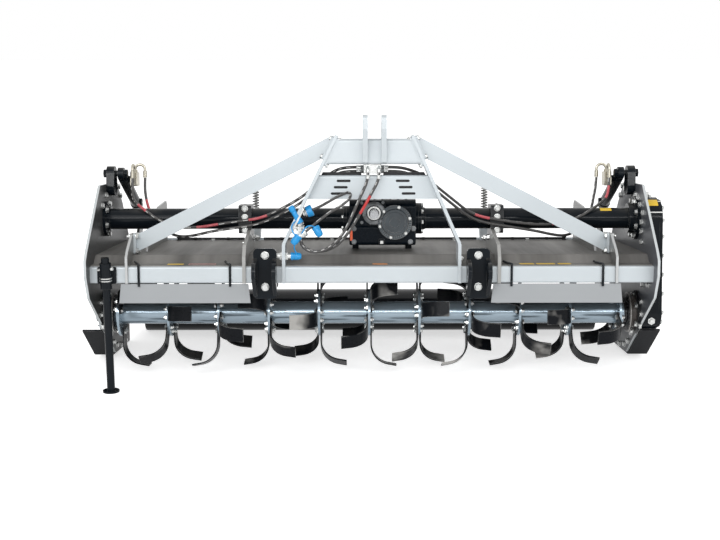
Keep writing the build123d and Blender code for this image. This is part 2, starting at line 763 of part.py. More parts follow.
# ------------------------------------------------------------------ depth cylinders
for side, hand in SIDES:
    bottom_pin = Vector(side * cylinder_x, lever_y, lever_z)
    top_pin = Vector(side * cylinder_x, cylinder_top_y, cylinder_top_z)
    length = (bottom_pin - top_pin).length
    down = Plane(origin=top_pin, x_dir=(1, 0, 0), z_dir=bottom_pin - top_pin)

    with BuildPart() as barrel:
        with BuildSketch(down.offset(barrel_start)):
            Circle(barrel_r)
        extrude(amount=barrel_end - barrel_start)
        with BuildSketch(down.offset(barrel_end - 30)):
            Circle(barrel_r + 4)
        extrude(amount=30)
        with BuildSketch(down.offset(20)):
            Rectangle(eye_width, 2 * barrel_r - 14)
        extrude(amount=barrel_start - 19)
        with BuildSketch(Plane.YZ.offset(side * cylinder_x - eye_width / 2)):
            with Locations((cylinder_top_y, cylinder_top_z)):
                Circle(eye_r)
        extrude(amount=eye_width)
        # the two oil ports, on the inner side
        for reach in (barrel_start + 22, barrel_end - 48):
            with BuildSketch(Plane(origin=down.offset(reach).origin, x_dir=down.z_dir, z_dir=(-side, 0, 0))):
                Rectangle(26, 26)
            extrude(amount=barrel_r + 9)
        with BuildSketch(Plane.YZ.offset(side * cylinder_x - eye_width / 2)):
            with Locations((cylinder_top_y, cylinder_top_z)):
                Circle(cylinder_pin_r + touch)
        extrude(amount=eye_width, mode=Mode.SUBTRACT)
        with BuildSketch(down.offset(barrel_end - rod_overlap - rod_travel)):
            Circle(cylinder_rod_r + touch)
        extrude(amount=rod_overlap + rod_travel, mode=Mode.SUBTRACT)
    keep(barrel, f"cylinder_barrel_{hand}")

    with BuildPart() as rod:
        with BuildSketch(down.offset(barrel_end - rod_overlap)):
            Circle(cylinder_rod_r)
        extrude(amount=length - barrel_end + rod_overlap - 24)
        with BuildSketch(Plane.YZ.offset(side * cylinder_x - eye_width / 2)):
            with Locations((lever_y, lever_z)):
                Circle(eye_r + 2)
                Circle(lever_pin_r + open_eye_gap, mode=Mode.SUBTRACT)
        extrude(amount=eye_width)
    keep(rod, f"cylinder_rod_{hand}")

    # the two hoses go to a valve block on the barrel's inner side, through bent pipes
    boss = down.offset(barrel_start + 22).origin
    valve_face = abs(boss.X) - barrel_r - 9
    with BuildPart() as valve:
        with BuildSketch(Plane.YZ.offset(side * valve_face)):
            with Locations((boss.Y, boss.Z)):
                RectangleRounded(66, valve_high, 5)
        extrude(amount=-side * valve_thick)
        pipe_x = side * (valve_face - valve_thick / 2)
        top_z = boss.Z + valve_high / 2
        for start_y, over in ((boss.Y - 16, (0, -2 * pipe_bend, 0)), (boss.Y + 16, (-side * 2 * pipe_bend, 0, 0))):
            up = Vector(pipe_x, start_y, top_z - 2)
            turn_top = up + Vector(0, 0, 16 + pipe_bend)
            across = turn_top + Vector(*over)
            with BuildLine() as bent:
                FilletPolyline(up, turn_top, across, across - Vector(0, 0, pipe_bend + 8), radius=pipe_bend - 0.5)
            with BuildSketch(Plane.XY.offset(up.Z)):
                with Locations((up.X, up.Y)):
                    Circle(7)
            sweep(path=bent.line)
            with BuildSketch(Plane.XY.offset(top_z - 1)):
                with Locations((up.X, up.Y)):
                    RegularPolygon(12, 6)
            extrude(amount=13)
            # the hose's crimped end
            with BuildSketch(Plane.XY.offset(across.Z - pipe_bend - 7)):
                with Locations((across.X, across.Y)):
                    Circle(hose_d / 2 + 3)
            extrude(amount=-ferrule)
    keep(valve, f"cylinder_valve_{hand}")

with BuildPart() as saddles:
    for side, _ in SIDES:
        # a boss for the cylinder's pin, which stands on the inner face of the side plate
        with BuildSketch(Plane.YZ.offset(side * half_width)):
            with BuildLine():
                hull_lines(cylinder_top_y, plate_top - 15, 44, cylinder_top_y, cylinder_top_z, 37)
            make_face()
        extrude(amount=-side * (half_width - cylinder_x - eye_width / 2 - 15))
        with BuildSketch(Plane.YZ.offset(side * (half_width - 20))):
            with Locations((cylinder_top_y, cylinder_top_z)):
                Circle(cylinder_pin_r)
        extrude(amount=-side * (half_width - 20 - cylinder_x + eye_width / 2 + 18))
        for at, reach in (
            (cylinder_x - eye_width / 2 - 4, -12),
            (half_width - 1, 19),
        ):
            with BuildSketch(Plane.YZ.offset(side * at)):
                with Locations((cylinder_top_y, cylinder_top_z)):
                    RegularPolygon(cylinder_pin_r + 8, 6)
            extrude(amount=side * reach)
keep(saddles, "cylinder_saddles")

# ------------------------------------------------------------------ tailgate
hinge_stations = (-1060.0, -530.0, 0.0, 530.0, 1060.0)
with BuildPart() as tailgate_hinge:
    for x in hinge_stations:
        with BuildSketch(Plane.YZ.offset(x - knuckle_length / 2)):
            with Locations((hinge_y, hinge_z)):
                Circle(knuckle_r)
            with Locations((deck_rear + 3, deck_z - rear_beam / 2 + 8)):
                Rectangle(6, 28)
            make_hull()
        extrude(amount=knuckle_length)
    with BuildSketch(Plane.YZ.offset(hinge_stations[0] - knuckle_length)):
        with Locations((hinge_y, hinge_z)):
            Circle(hinge_rod_r)
    extrude(amount=hinge_stations[-1] - hinge_stations[0] + 2 * knuckle_length)
keep(tailgate_hinge, "tailgate_hinge")

lug_slope = radians(lug_drop)
slot_near = (spring_rod_y - hinge_y) - 10
slot_far = (spring_rod_y - hinge_y) / cos(lug_slope) + 10
with BuildPart() as tailgate:
    with BuildSketch(Plane.YZ.offset(-tailgate_half)):
        with BuildLine():
            FilletPolyline(
                (hinge_y + 10, hinge_z - 24), (hinge_y + 45, hinge_z - 126),
                (hinge_y + 60, hinge_z - 226), (hinge_y + 92, hinge_z - 242),
                radius=10,
            )
            offset(amount=tailgate_thick, side=Side.RIGHT)
        make_face()
    extrude(amount=2 * tailgate_half)
    for x in hinge_stations:
        for way in (-1, 1):
            with BuildSketch(Plane.YZ.offset(x + way * (knuckle_length / 2 + 2))):
                with Locations((hinge_y, hinge_z)):
                    Circle(knuckle_r)
                with Locations((hinge_y + 8, hinge_z - 34)):
                    Rectangle(6, 16, rotation=18)
                make_hull()
                with Locations((hinge_y, hinge_z)):
                    Circle(hinge_rod_r + touch, mode=Mode.SUBTRACT)
            extrude(amount=way * 36)
    for side, _ in SIDES:
        with BuildSketch(Plane.YZ.offset(side * (spring_rod_x - lug_thick / 2))):
            with BuildLine():
                Polyline(
                    (hinge_y + 9, hinge_z - 28), (hinge_y + 41, hinge_z - 120),
                    (hinge_y + 98, hinge_z - 64), (hinge_y + 92, hinge_z - 26), close=True,
                )
            make_face()
            fillet(vertices().group_by(Axis.X)[-1], 8)
            middle = (slot_near + slot_far) / 2
            with Locations((hinge_y + middle * cos(lug_slope), hinge_z - middle * sin(lug_slope))):
                SlotOverall(slot_far - slot_near, 15, rotation=-lug_drop, mode=Mode.SUBTRACT)
        extrude(amount=side * lug_thick)
keep(tailgate, "tailgate")

with BuildPart() as spring_brackets:
    for side, _ in SIDES:
        x = side * spring_rod_x
        with BuildSketch(Plane.XY.offset(spring_seat_z)):
            with Locations((x, (deck_rear - 27 + spring_rod_y + 30) / 2)):
                RectangleRounded(70, spring_rod_y + 30 - deck_rear + 27, 8)
        extrude(amount=-12)
        with BuildSketch(Plane.XZ.offset(-deck_rear + 27)):
            with Locations((x, (spring_seat_z + deck_z + deck_thick) / 2)):
                Rectangle(70, spring_seat_z - deck_z - deck_thick)
        extrude(amount=-12)
        for edge in (x - 35, x + 27):
            with BuildSketch(Plane.YZ.offset(edge)):
                with BuildLine():
                    Polyline(
                        (deck_rear - 20, spring_seat_z - 6), (spring_rod_y + 10, spring_seat_z - 6),
                        (deck_rear - 20, deck_z + deck_thick + 10), close=True,
                    )
                make_face()
            extrude(amount=8)
        with BuildSketch(Plane.XY.offset(spring_seat_z)):
            with Locations((x, spring_rod_y)):
                Circle(spring_rod_r + 2)
        extrude(amount=-40, mode=Mode.SUBTRACT)
keep(spring_brackets, "spring_brackets")

with BuildPart() as springs:
    for side, _ in SIDES:
        with BuildSketch(Plane.XY.offset(spring_seat_z)):
            with Locations((side * spring_rod_x, spring_rod_y)):
                Circle(spring_r)
                Circle(spring_r - spring_wire, mode=Mode.SUBTRACT)
        extrude(amount=spring_top_z - spring_seat_z)
keep(springs, "tailgate_springs")

for side, hand in SIDES:
    x = side * spring_rod_x
    with BuildPart() as spring_rod:
        with BuildSketch(Plane.XY.offset(lug_z + 44)):
            with Locations((x, spring_rod_y)):
                Circle(spring_rod_r)
        extrude(amount=spring_top_z + 38 - lug_z - 44)
        with BuildSketch(Plane.XY.offset(spring_top_z)):
            with Locations((x, spring_rod_y)):
                Circle(spring_r + 1)
        extrude(amount=5)
        with BuildSketch(Plane.XY.offset(spring_top_z + 4)):
            with Locations((x, spring_rod_y)):
                RegularPolygon(14, 6)
        extrude(amount=14)
        # the fork that takes the tailgate's lug
        with BuildSketch(Plane.YZ.offset(x - lug_thick / 2 - 10)):
            with Locations((spring_rod_y, lug_z + 16)):
                RectangleRounded(30, 64, 10)
        extrude(amount=lug_thick + 20)
        with BuildSketch(Plane.YZ.offset(x - lug_thick / 2 - 2)):
            with Locations((spring_rod_y, lug_z)):
                Rectangle(60, 72)
        extrude(amount=lug_thick + 4, mode=Mode.SUBTRACT)
        with BuildSketch(Plane.YZ.offset(x - lug_thick / 2 - 16)):
            with Locations((spring_rod_y, lug_z)):
                Circle(6)
        extrude(amount=lug_thick + 32)
    keep(spring_rod, f"spring_rod_{hand}")

# ------------------------------------------------------------------ lower hitch brackets
for side, hand in SIDES:
    with BuildPart() as hitch_bracket:
        with BuildSketch(Plane.XZ):
            with Locations((side * hitch_spread / 2, beam_z + 8)):
                RectangleRounded(110, 240, 22)
        extrude(amount=20)
        # strap behind the beam
        with BuildSketch(Plane.XZ.offset(-beam)):
            with Locations((side * hitch_spread / 2, beam_z - 18)):
                RectangleRounded(110, 108, 12)
        extrude(amount=-12)
        for way in (-1, 1):
            with BuildSketch(Plane.YZ.offset(side * hitch_spread / 2 + way * lower_gap / 2)):
                with Locations((lower_pin_y, lower_pin_z)):
                    Circle(44)
                with Locations((-18, beam_z - 10)):
                    Rectangle(6, 180)
                make_hull()
            extrude(amount=way * lower_ear)
        with BuildSketch(Plane.YZ.offset(side * hitch_spread / 2 - 60)):
            with Locations((lower_pin_y, lower_pin_z)):
                Circle(lower_pin_r + pin_play)
        extrude(amount=120, mode=Mode.SUBTRACT)
    keep(hitch_bracket, f"hitch_bracket_{hand}")

# ------------------------------------------------------------------ guard and hose block
with BuildPart() as guard:
    with BuildSketch(Plane.YZ.offset(-leg_foot_x)):
        with BuildLine():
            FilletPolyline((beam / 2, 925), (beam / 2, 1034), (beam / 2 + 30, 1034), radius=6)
            offset(amount=4, side=Side.LEFT)
        make_face()
    extrude(amount=2 * leg_foot_x)
    for side, _ in SIDES:
        split(bisect_by=leg_plane(side, 0), keep=Keep.BOTTOM)
    with BuildSketch(Plane.XZ.offset(-beam / 2 + 10)):
        for side, _ in SIDES:
            for row in (-1, 0, 1):
                with Locations((hitch_offset - 6 + side * (154 - 14 * row), 981 + 30 * row)):
                    SlotOverall(66, 12)
    extrude(amount=-20, mode=Mode.SUBTRACT)
keep(guard, "mast_guard")

# distribution block under the headstock beam, with ports for the hoses at its front and sides
block_bottom = upper_beam_z - upper_beam / 2 - block_high
with BuildPart() as hose_block:
    with BuildSketch(Plane.XY.offset(block_bottom)):
        with Locations((block_x, (block_front + block_rear) / 2)):
            RectangleRounded(block_wide, block_rear - block_front, 6)
    extrude(amount=block_high)
    for x in supply_ports:
        # an elbow from the front face down to the supply hose
        with BuildLine() as bent:
            FilletPolyline(
                (x, block_front + 4, port_z), (x, supply_y, port_z), (x, supply_y, port_z - 22),
                radius=16,
            )
        with BuildSketch(Plane.XZ.offset(-block_front - 4)):
            with Locations((x, port_z)):
                Circle(8)
        sweep(path=bent.line)
        with BuildSketch(Plane.XZ.offset(-block_front)):
            with Locations((x, port_z)):
                RegularPolygon(12, 6)
        extrude(amount=8)
    for side, _ in SIDES:
        for z in (port_z, port_z - port_drop):
            with BuildSketch(Plane.YZ.offset(block_x + side * (block_wide / 2 - 2))):
                with Locations((side_port_y, z)):
                    RegularPolygon(11, 6)
            extrude(amount=side * 16)
            with BuildSketch(Plane.YZ.offset(block_x + side * block_wide / 2)):
                with Locations((side_port_y, z)):
                    Circle(8.5)
            extrude(amount=side * 34)
keep(hose_block, "hose_block")

# quick couplers on the left mast leg: a bracket that carries four, and one through the leg
with BuildPart() as couplers:
    with BuildSketch(leg_plane(-1, 0)):
        with Locations((-24, 130)):
            RectangleRounded(92, 132, 8)
    extrude(amount=-8)
    with BuildSketch(Plane.XY.offset(shelf_z)):
        with Locations((upright_x - 1, 19)):
            Rectangle(46, 78)
    extrude(amount=8)
    for y in (supply_end_y, supply_end_y + 33):
        with BuildSketch(Plane.XY.offset(upright_z)):
            with Locations((upright_x, y)):
                Circle(coupler_r)
        extrude(amount=41)
        with BuildSketch(Plane.XY.offset(upright_z + 24)):
            with Locations((upright_x, y)):
                RegularPolygon(coupler_r + 0.5, 6)
        extrude(amount=10)
    with BuildSketch(Plane.XY.offset(shelf_z - 40)):
        with Locations((upright_x + 2, -27)):
            Rectangle(18, 22)
    extrude(amount=48)
    for start, end in loop_couplers:
        with BuildSketch(Plane(origin=start, z_dir=Vector(*end) - Vector(*start))):
            Circle(coupler_r - 1.5)
        extrude(amount=(Vector(*end) - Vector(*start)).length)
    # the one through the leg, in two halves that meet its faces
    for face, way, reach in ((-leg_foot_x - leg_thick, -1, 32), (-leg_foot_x, 1, 48)):
        with BuildSketch(Plane.YZ.offset(face)):
            with Locations((20, through_z)):
                Circle(coupler_r - 1)
        extrude(amount=way * reach)
        with BuildSketch(Plane.YZ.offset(face)):
            with Locations((20, through_z)):
                RegularPolygon(coupler_r + 4, 6)
        extrude(amount=way * 12)
keep(couplers, "hose_couplers")

# ------------------------------------------------------------------ oil hoses
pipe_x = valve_face - valve_thick / 2
hose_top = boss.Z + valve_high / 2 + 7 - ferrule - hose_gap
port_reach = block_wide / 2 + 34
elbow_end = port_z - 22
routes = {
    "hose_left_front": (
        (-pipe_x, boss.Y - 16 - 2 * pipe_bend, hose_top), (-1216, 458, 955), (-1208, 428, 905),
        (-1178, 378, 882), (-1128, 330, 852), (-1062, 304, 806), (-970, 298, 775), (-870, 297, 768),
        (-760, 296, 786), (-631, 295, 804), (-541, 288, 818), (-440, 250, 866), (-347, 200, 920),
        (-285, 162, 970), (-232, 138, 1018), (-182, 110, 1055), (-128, side_port_y, port_z),
        (block_x - port_reach, side_port_y, port_z),
    ),
    "hose_left_rear": (
        (-pipe_x + 2 * pipe_bend, boss.Y + 16, hose_top), (-1168, 545, 955), (-1160, 530, 905),
        (-1146, 505, 862), (-1124, 482, 815), (-1085, 462, 768), (-1030, 425, 732), (-965, 372, 716),
        (-890, 318, 726), (-790, 292, 752), (-680, 290, 768), (-560, 288, 786), (-460, 258, 829),
        (-360, 208, 885), (-285, 163, 945), (-232, 138, 993), (-182, 110, 1035),
        (-128, side_port_y, port_z - port_drop), (block_x - port_reach, side_port_y, port_z - port_drop),
    ),
    "hose_right_front": (
        (pipe_x, boss.Y - 16 - 2 * pipe_bend, hose_top), (1213, 458, 955), (1196, 430, 908),
        (1158, 382, 884), (1108, 330, 858), (1040, 306, 818), (943, 298, 788), (840, 297, 780),
        (720, 296, 792), (583, 294, 813), (492, 280, 839), (392, 222, 919), (300, 168, 992),
        (245, 145, 1038), (188, 112, 1060), (134, side_port_y, port_z),
        (block_x + port_reach, side_port_y, port_z),
    ),
    "hose_right_rear": (
        (pipe_x - 2 * pipe_bend, boss.Y + 16, hose_top), (1163, 545, 955), (1150, 530, 905),
        (1138, 505, 862), (1120, 482, 815), (1085, 462, 768), (1035, 425, 732), (975, 372, 718),
        (905, 318, 730), (815, 292, 752), (700, 290, 770), (575, 290, 790), (492, 276, 815),
        (392, 218, 894), (300, 166, 969), (245, 143, 1012), (188, 112, 1040), (134, side_port_y, port_z - port_drop),
        (block_x + port_reach, side_port_y, port_z - port_drop),
    ),
    "supply_hose_left": (
        (supply_ports[0], supply_y, elbow_end), (supply_ports[0], supply_y, 1016), (-40, -7, 965), (-72, -7, 895),
        (-106, -4, 815), (-140, 0, 756), (-180, 3, 710), (-225, 5, 683), (-278, 6, 672),
        (-322, 6, 692), (upright_x, supply_end_y, 732), (upright_x, supply_end_y, upright_z),
    ),
    "supply_hose_right": (
        (supply_ports[1], supply_y, elbow_end), (supply_ports[1], supply_y, 1016), (8, -5, 970),
        (-24, -4, 910), (-60, 5, 848), (-100, 13, 780), (-148, 22, 718), (-196, 30, 686), (-250, 35, 672),
        (-302, 37, 681), (-332, 38, 706), (upright_x, supply_end_y + 33, 742),
        (upright_x, supply_end_y + 33, upright_z),
    ),
    "loop_hose": (
        loop_couplers[0][1], (-281.2, -30, 801), (-240, -35, 834), (-195, -42, 869),
        (-148, -46, 894.5), (-110.1, -47.5, 923.2), (-99, -34.7, 941.2), (-100.2, -14, 954.6),
        (-113.2, 6.7, 958.2), (-132.9, 19.5, 950.6), (-172, 20, 932), (-212, 26, 908),
        (-251.4, 38, 886), loop_couplers[1][0],
    ),
}
for label, route in routes.items():
    points = [Vector(*point) for point in route]
    runs = [b - a for a, b in zip(points, points[1:])]
    radii = [
        0.45 * min(a.length, b.length) / tan(radians(a.get_angle(b) / 2)) for a, b in zip(runs, runs[1:])
    ]
    across = loop_hose_d if label == "loop_hose" else hose_d
    with BuildPart() as hose:
        with BuildLine() as way:
            FilletPolyline(*points, radius=radii)
        with BuildSketch(Plane(origin=points[0], z_dir=runs[0])):
            Circle(across / 2)
        sweep(path=way.wire())
    keep(hose, label)
    length = way.wire().length
    share = hose.part.volume / (length * 3.14159265 * across**2 / 4)
    print(
        f"{label}: {length:.0f} mm long, least radius {min(radii):.0f}, volume {share:.4f} of section times length,",
        "runs", [round(run.length) for run in runs], "radii", [round(r) for r in radii],
    )

# ------------------------------------------------------------------ name plates, blank
with BuildPart() as name_plates:
    for middle in plate_middles:
        with BuildSketch(Plane.XZ.offset(-4)):
            with Locations((middle, beam_bottom - 3 - 46)):
                Trapezoid(626, 92, 84)
        extrude(amount=4)
keep(name_plates, "name_plates")

# the bent flats that hook over the beam and carry the plates
with BuildPart() as plate_straps:
    for middle in plate_middles:
        for x in (-217, 217):
            with BuildSketch(Plane.YZ.offset(middle + x - 6)):
                with BuildLine():
                    FilletPolyline(
                        (0, beam_bottom - 40), (0, beam_top + deck_thick + 2), (26, beam_top + deck_thick + 2),
                        (50, beam_top + deck_thick + 20),
                        radius=2,
                    )
                    offset(amount=5, side=Side.LEFT)
                make_face()
            extrude(amount=12)
keep(plate_straps, "plate_straps")

# ------------------------------------------------------------------ parking stand
lean = radians(park_angle)
upright = Vector(0, -sin(lean), cos(lean))
stand_mid = Vector(stand_x, stand_y, beam_z)
stand_reach = (beam_z - floor_z(stand_y)) * cos(lean)
stand_axis = Plane(origin=stand_mid, x_dir=(1, 0, 0), z_dir=upright)
with BuildPart() as stand_leg:
    with BuildSketch(stand_axis.offset(-stand_reach)):
        Circle(stand_foot_r)
    extrude(amount=stand_foot_thick)
    with BuildSketch(stand_axis.offset(-stand_reach)):
        Circle(stand_tube_r)
    extrude(amount=stand_reach + 88)
keep(stand_leg, "stand_leg")

with BuildPart() as stand_holder:
    with BuildSketch(stand_axis.offset(-62)):
        Circle(holder_r)
    extrude(amount=124)
    with BuildSketch(Plane.XZ):
        with Locations((stand_x, beam_z)):
            RectangleRounded(90, beam, 8)
    extrude(amount=12)
    with BuildSketch(Plane.XY.offset(beam_z - 34)):
        with Locations((stand_x, stand_y / 2)):
            Rectangle(2 * holder_r, -stand_y)
    extrude(amount=68)
    with BuildSketch(stand_axis.offset(-100)):
        Circle(stand_tube_r + touch)
    extrude(amount=200, mode=Mode.SUBTRACT)
keep(stand_holder, "stand_holder")

# ------------------------------------------------------------------ set down and write
turned = Location((0, 0, 0), (-park_angle, 0, 0))
pivot = Location((0, -heel_y, -sole_z))
parked = []
for piece in finished:
    parked.append(piece.moved(pivot).moved(turned))
    parked[-1].label = piece.label
boxes = [piece.bounding_box() for piece in parked if piece.label not in routes]
low = Vector(min(b.min.X for b in boxes), min(b.min.Y for b in boxes), min(b.min.Z for b in boxes))
high = Vector(max(b.max.X for b in boxes), max(b.max.Y for b in boxes), max(b.max.Z for b in boxes))
centre = Location((-(low.X + high.X) / 2, -(low.Y + high.Y) / 2, -low.Z))
set_down = centre * turned * pivot


def parked_point(x, y, z):
    """Where a point of the level machine lies once it is set down, in metres."""
    return tuple(round(v / 1000, 5) for v in (set_down * Location((x, y, z))).position)


os.makedirs("parts", exist_ok=True)
for piece in finished:
    name = piece.label
    placed = piece.moved(set_down)
    placed.label = name
    export_step(placed, f"parts/{name}.step")
print("size", [round(v, 1) for v in (high - low)], "low", low, "origin of the level frame", parked_point(0, 0, 0))
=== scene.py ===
"""Looks of a rotary tiller with a three-point linkage and a rear packer roller.

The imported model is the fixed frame: X to the right of someone who faces the machine from
the tractor, Y to the machine's rear, Z up, in metres. The classes below give each
sub-assembly its finish and add the fasteners, springs, hoses, couplers and stickers that
the solids leave out. Places are given as on the level machine, and LEVEL carries them to
the machine as it stands parked.
"""

import json
import logging
import math
from collections.abc import Iterable, Iterator
from contextlib import contextmanager
from dataclasses import dataclass, replace
from enum import Enum

import bmesh
import bpy
from mathutils import Matrix, Vector

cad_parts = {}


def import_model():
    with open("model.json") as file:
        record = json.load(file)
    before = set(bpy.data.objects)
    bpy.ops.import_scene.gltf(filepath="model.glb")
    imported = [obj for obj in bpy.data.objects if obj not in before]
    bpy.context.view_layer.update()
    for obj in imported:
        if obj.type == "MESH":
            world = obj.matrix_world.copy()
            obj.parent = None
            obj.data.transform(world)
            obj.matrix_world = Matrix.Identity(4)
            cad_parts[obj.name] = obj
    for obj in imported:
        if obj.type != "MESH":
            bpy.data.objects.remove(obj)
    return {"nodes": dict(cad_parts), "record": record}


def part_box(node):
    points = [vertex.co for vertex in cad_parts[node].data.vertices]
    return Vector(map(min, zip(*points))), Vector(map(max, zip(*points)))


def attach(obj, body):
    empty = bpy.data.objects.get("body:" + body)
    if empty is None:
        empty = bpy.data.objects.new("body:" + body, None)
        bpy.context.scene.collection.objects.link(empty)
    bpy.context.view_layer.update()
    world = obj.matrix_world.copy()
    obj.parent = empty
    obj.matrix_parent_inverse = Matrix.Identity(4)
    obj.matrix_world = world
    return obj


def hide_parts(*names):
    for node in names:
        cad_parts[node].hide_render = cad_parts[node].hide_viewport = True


Colour = tuple[float, float, float]
Point = tuple[float, float, float]
Pair = tuple[float, float]
Steps = tuple[Pair, ...]
Thing = bpy.types.Object
Socket = bpy.types.NodeSocket
Value = float | Point | Vector | Socket

logging.basicConfig(level=logging.INFO, format="%(message)s")
log = logging.getLogger("tiller")

LEAN = math.radians(5.5)
LEVEL = Matrix.Translation((-0.001, -0.60914, 0.00383)) @ Matrix.Rotation(-LEAN, 4, "X")
SIDES = ((-1, "left"), (1, "right"))
HITCH = 0.014                     # the mast and the gearbox stand this far to the right
ROTOR_AXIS = (0.345, 0.334)       # Y and Z of the lines that run across the machine
TUBE_AXIS = (0.390, 0.807)
DECK_TOP = 0.650
LEG_FOOT = (0.410, 0.712)         # X and Z of the ends of a mast leg's sloping part
LEG_HEAD = (0.172, 1.222)


def facing(place: Point, way: Point, spin: float = 0.0) -> Matrix:
    """Work out the matrix that stands a piece on a place of the level machine.

    Args:
        place: where the piece's foot goes.
        way: the direction that its own Z takes.
        spin: turn about that direction, in degrees.

    Returns:
        The matrix, in the level machine's frame.
    """
    turn = Vector(way).to_track_quat("Z", "Y").to_matrix().to_4x4()
    return Matrix.Translation(place) @ turn @ Matrix.Rotation(math.radians(spin), 4, "Z")


class Way(Enum):
    """The way that a fastener or a label faces."""

    LEFT = (-1.0, 0.0, 0.0)
    RIGHT = (1.0, 0.0, 0.0)
    FRONT = (0.0, -1.0, 0.0)
    REAR = (0.0, 1.0, 0.0)
    UP = (0.0, 0.0, 1.0)

    def at(self, x: float, y: float, z: float, spin: float = 0.0) -> Matrix:
        """Stand a piece at a place of the level machine, facing this way."""
        return facing((x, y, z), self.value, spin)

    @classmethod
    def across(cls, side: int) -> "Way":
        """Give the way towards a side of the machine, -1 for the left and 1 for the right."""
        return cls.RIGHT if side > 0 else cls.LEFT


# ---------------------------------------------------------------- shader nodes
@dataclass
class Wiring:
    """Short ways to add nodes to one node tree and to join them."""

    tree: bpy.types.NodeTree

    @classmethod
    def group(cls, name: str, inputs: dict[str, float | Point], outputs: tuple[str, ...]) -> "Wiring":
        """Start a shader node group.

        Args:
            name: the group's name.
            inputs: inputs and their default values, a number or a vector each.
            outputs: names of the numbers that it puts out.

        Returns:
            The wiring of its tree.
        """
        tree = bpy.data.node_groups.new(name, "ShaderNodeTree")
        for label, value in inputs.items():
            kind = "NodeSocketVector" if isinstance(value, tuple) else "NodeSocketFloat"
            tree.interface.new_socket(label, in_out="INPUT", socket_type=kind).default_value = value
        for label in outputs:
            tree.interface.new_socket(label, in_out="OUTPUT", socket_type="NodeSocketFloat")
        tree.nodes.new("NodeGroupInput")
        tree.nodes.new("NodeGroupOutput")
        return cls(tree)

    def add(self, kind: str, values: dict[str | int, Value] | None = None, **settings: object) -> bpy.types.Node:
        """Add a node, set it up and feed it.

        Args:
            kind: the node's type, without its first word.
            values: for each input, its value or the socket that feeds it.
            settings: the node's own settings.

        Returns:
            The node.
        """
        node = self.tree.nodes.new(f"ShaderNode{kind}")
        for key, value in settings.items():
            setattr(node, key, value)
        self.feed(node, values or {})
        return node

    def feed(self, node: bpy.types.Node, values: dict[str | int, Value]) -> None:
        """Set a node's inputs, or join them to the sockets that feed them.

        Args:
            node: the node.
            values: for each input, its value or the socket that feeds it.
        """
        for key, value in values.items():
            if isinstance(value, Socket):
                self.tree.links.new(value, node.inputs[key])
            else:
                node.inputs[key].default_value = value

    def math(self, operation: str, *values: Value) -> Socket:
        """Reckon with numbers."""
        return self.add("Math", dict(enumerate(values)), operation=operation).outputs["Value"]

    def vector(self, operation: str, result: str, *values: Value) -> Socket:
        """Reckon with vectors, and give the result of that name, Vector or Value."""
        return self.add("VectorMath", dict(enumerate(values)), operation=operation).outputs[result]

    def span(self, value: Socket, low: float, high: float) -> Socket:
        """Stretch what lies between low and high to 0 to 1."""
        return self.add("MapRange", {"Value": value, "From Min": low, "From Max": high}).outputs["Result"]

    def place(self) -> Socket:
        """Give the place on the object."""
        return self.add("TexCoord").outputs["Object"]

    def noise(self, place: Socket, scale: Value, detail: float) -> Socket:
        """Give a cloudy pattern."""
        return self.add("TexNoise", {"Vector": place, "Scale": scale, "Detail": detail}).outputs["Fac"]

    def layer(self, under: Socket, mask: Socket, share: float, over: Colour) -> Socket:
        """Lay one more colour over another.

        Args:
            under: the colour below.
            mask: where the new colour shows.
            share: how much of it shows there.
            over: the new colour.

        Returns:
            The socket that gives the two together.
        """
        amount = self.math("MULTIPLY", mask, share)
        return self.add("Mix", {"Factor": amount, "A": under, "B": (*over, 1)}, data_type="RGBA").outputs["Result"]


def uneven_surface() -> bpy.types.NodeTree:
    """Build the group for uneven paint: a broad tone, a fine tone and a height.

    Returns:
        The node tree, built once.
    """
    name = "uneven surface"
    if name in bpy.data.node_groups:
        return bpy.data.node_groups[name]
    inputs = {"Broad Scale": 2.0, "Fine Scale": 60.0, "Stretch": (1.0, 1.0, 1.0)}
    group = Wiring.group(name, inputs, ("Broad", "Fine", "Height"))
    source = group.tree.nodes["Group Input"].outputs
    drawn = group.vector("MULTIPLY", "Vector", group.place(), source["Stretch"])
    broad = group.noise(drawn, source["Broad Scale"], 3.0)
    fine = group.noise(drawn, source["Fine Scale"], 5.0)
    group.feed(group.tree.nodes["Group Output"], {"Broad": broad, "Fine": fine, "Height": fine})
    return group.tree


def edges_and_dust() -> bpy.types.NodeTree:
    """Build the group that finds worn edges and surfaces where dust settles.

    Returns:
        The node tree, built once.
    """
    name = "edges and dust"
    if name in bpy.data.node_groups:
        return bpy.data.node_groups[name]
    group = Wiring.group(name, {"Radius": 0.004, "Patch Scale": 9.0}, ("Edge", "Dust"))
    source = group.tree.nodes["Group Input"].outputs
    shape = group.add("NewGeometry").outputs
    rounded = group.add("Bevel", {"Radius": source["Radius"]}, samples=4).outputs["Normal"]
    edge = group.span(group.vector("DOT_PRODUCT", "Value", rounded, shape["True Normal"]), 0.999, 0.86)
    patches = group.span(group.noise(group.place(), source["Patch Scale"], 6.0), 0.42, 0.62)
    level = group.span(group.add("SeparateXYZ", {"Vector": shape["Normal"]}).outputs["Z"], 0.55, 0.98)
    group.feed(group.tree.nodes["Group Output"],
               {"Edge": group.math("MULTIPLY", edge, patches), "Dust": group.math("MULTIPLY", level, patches)})
    return group.tree


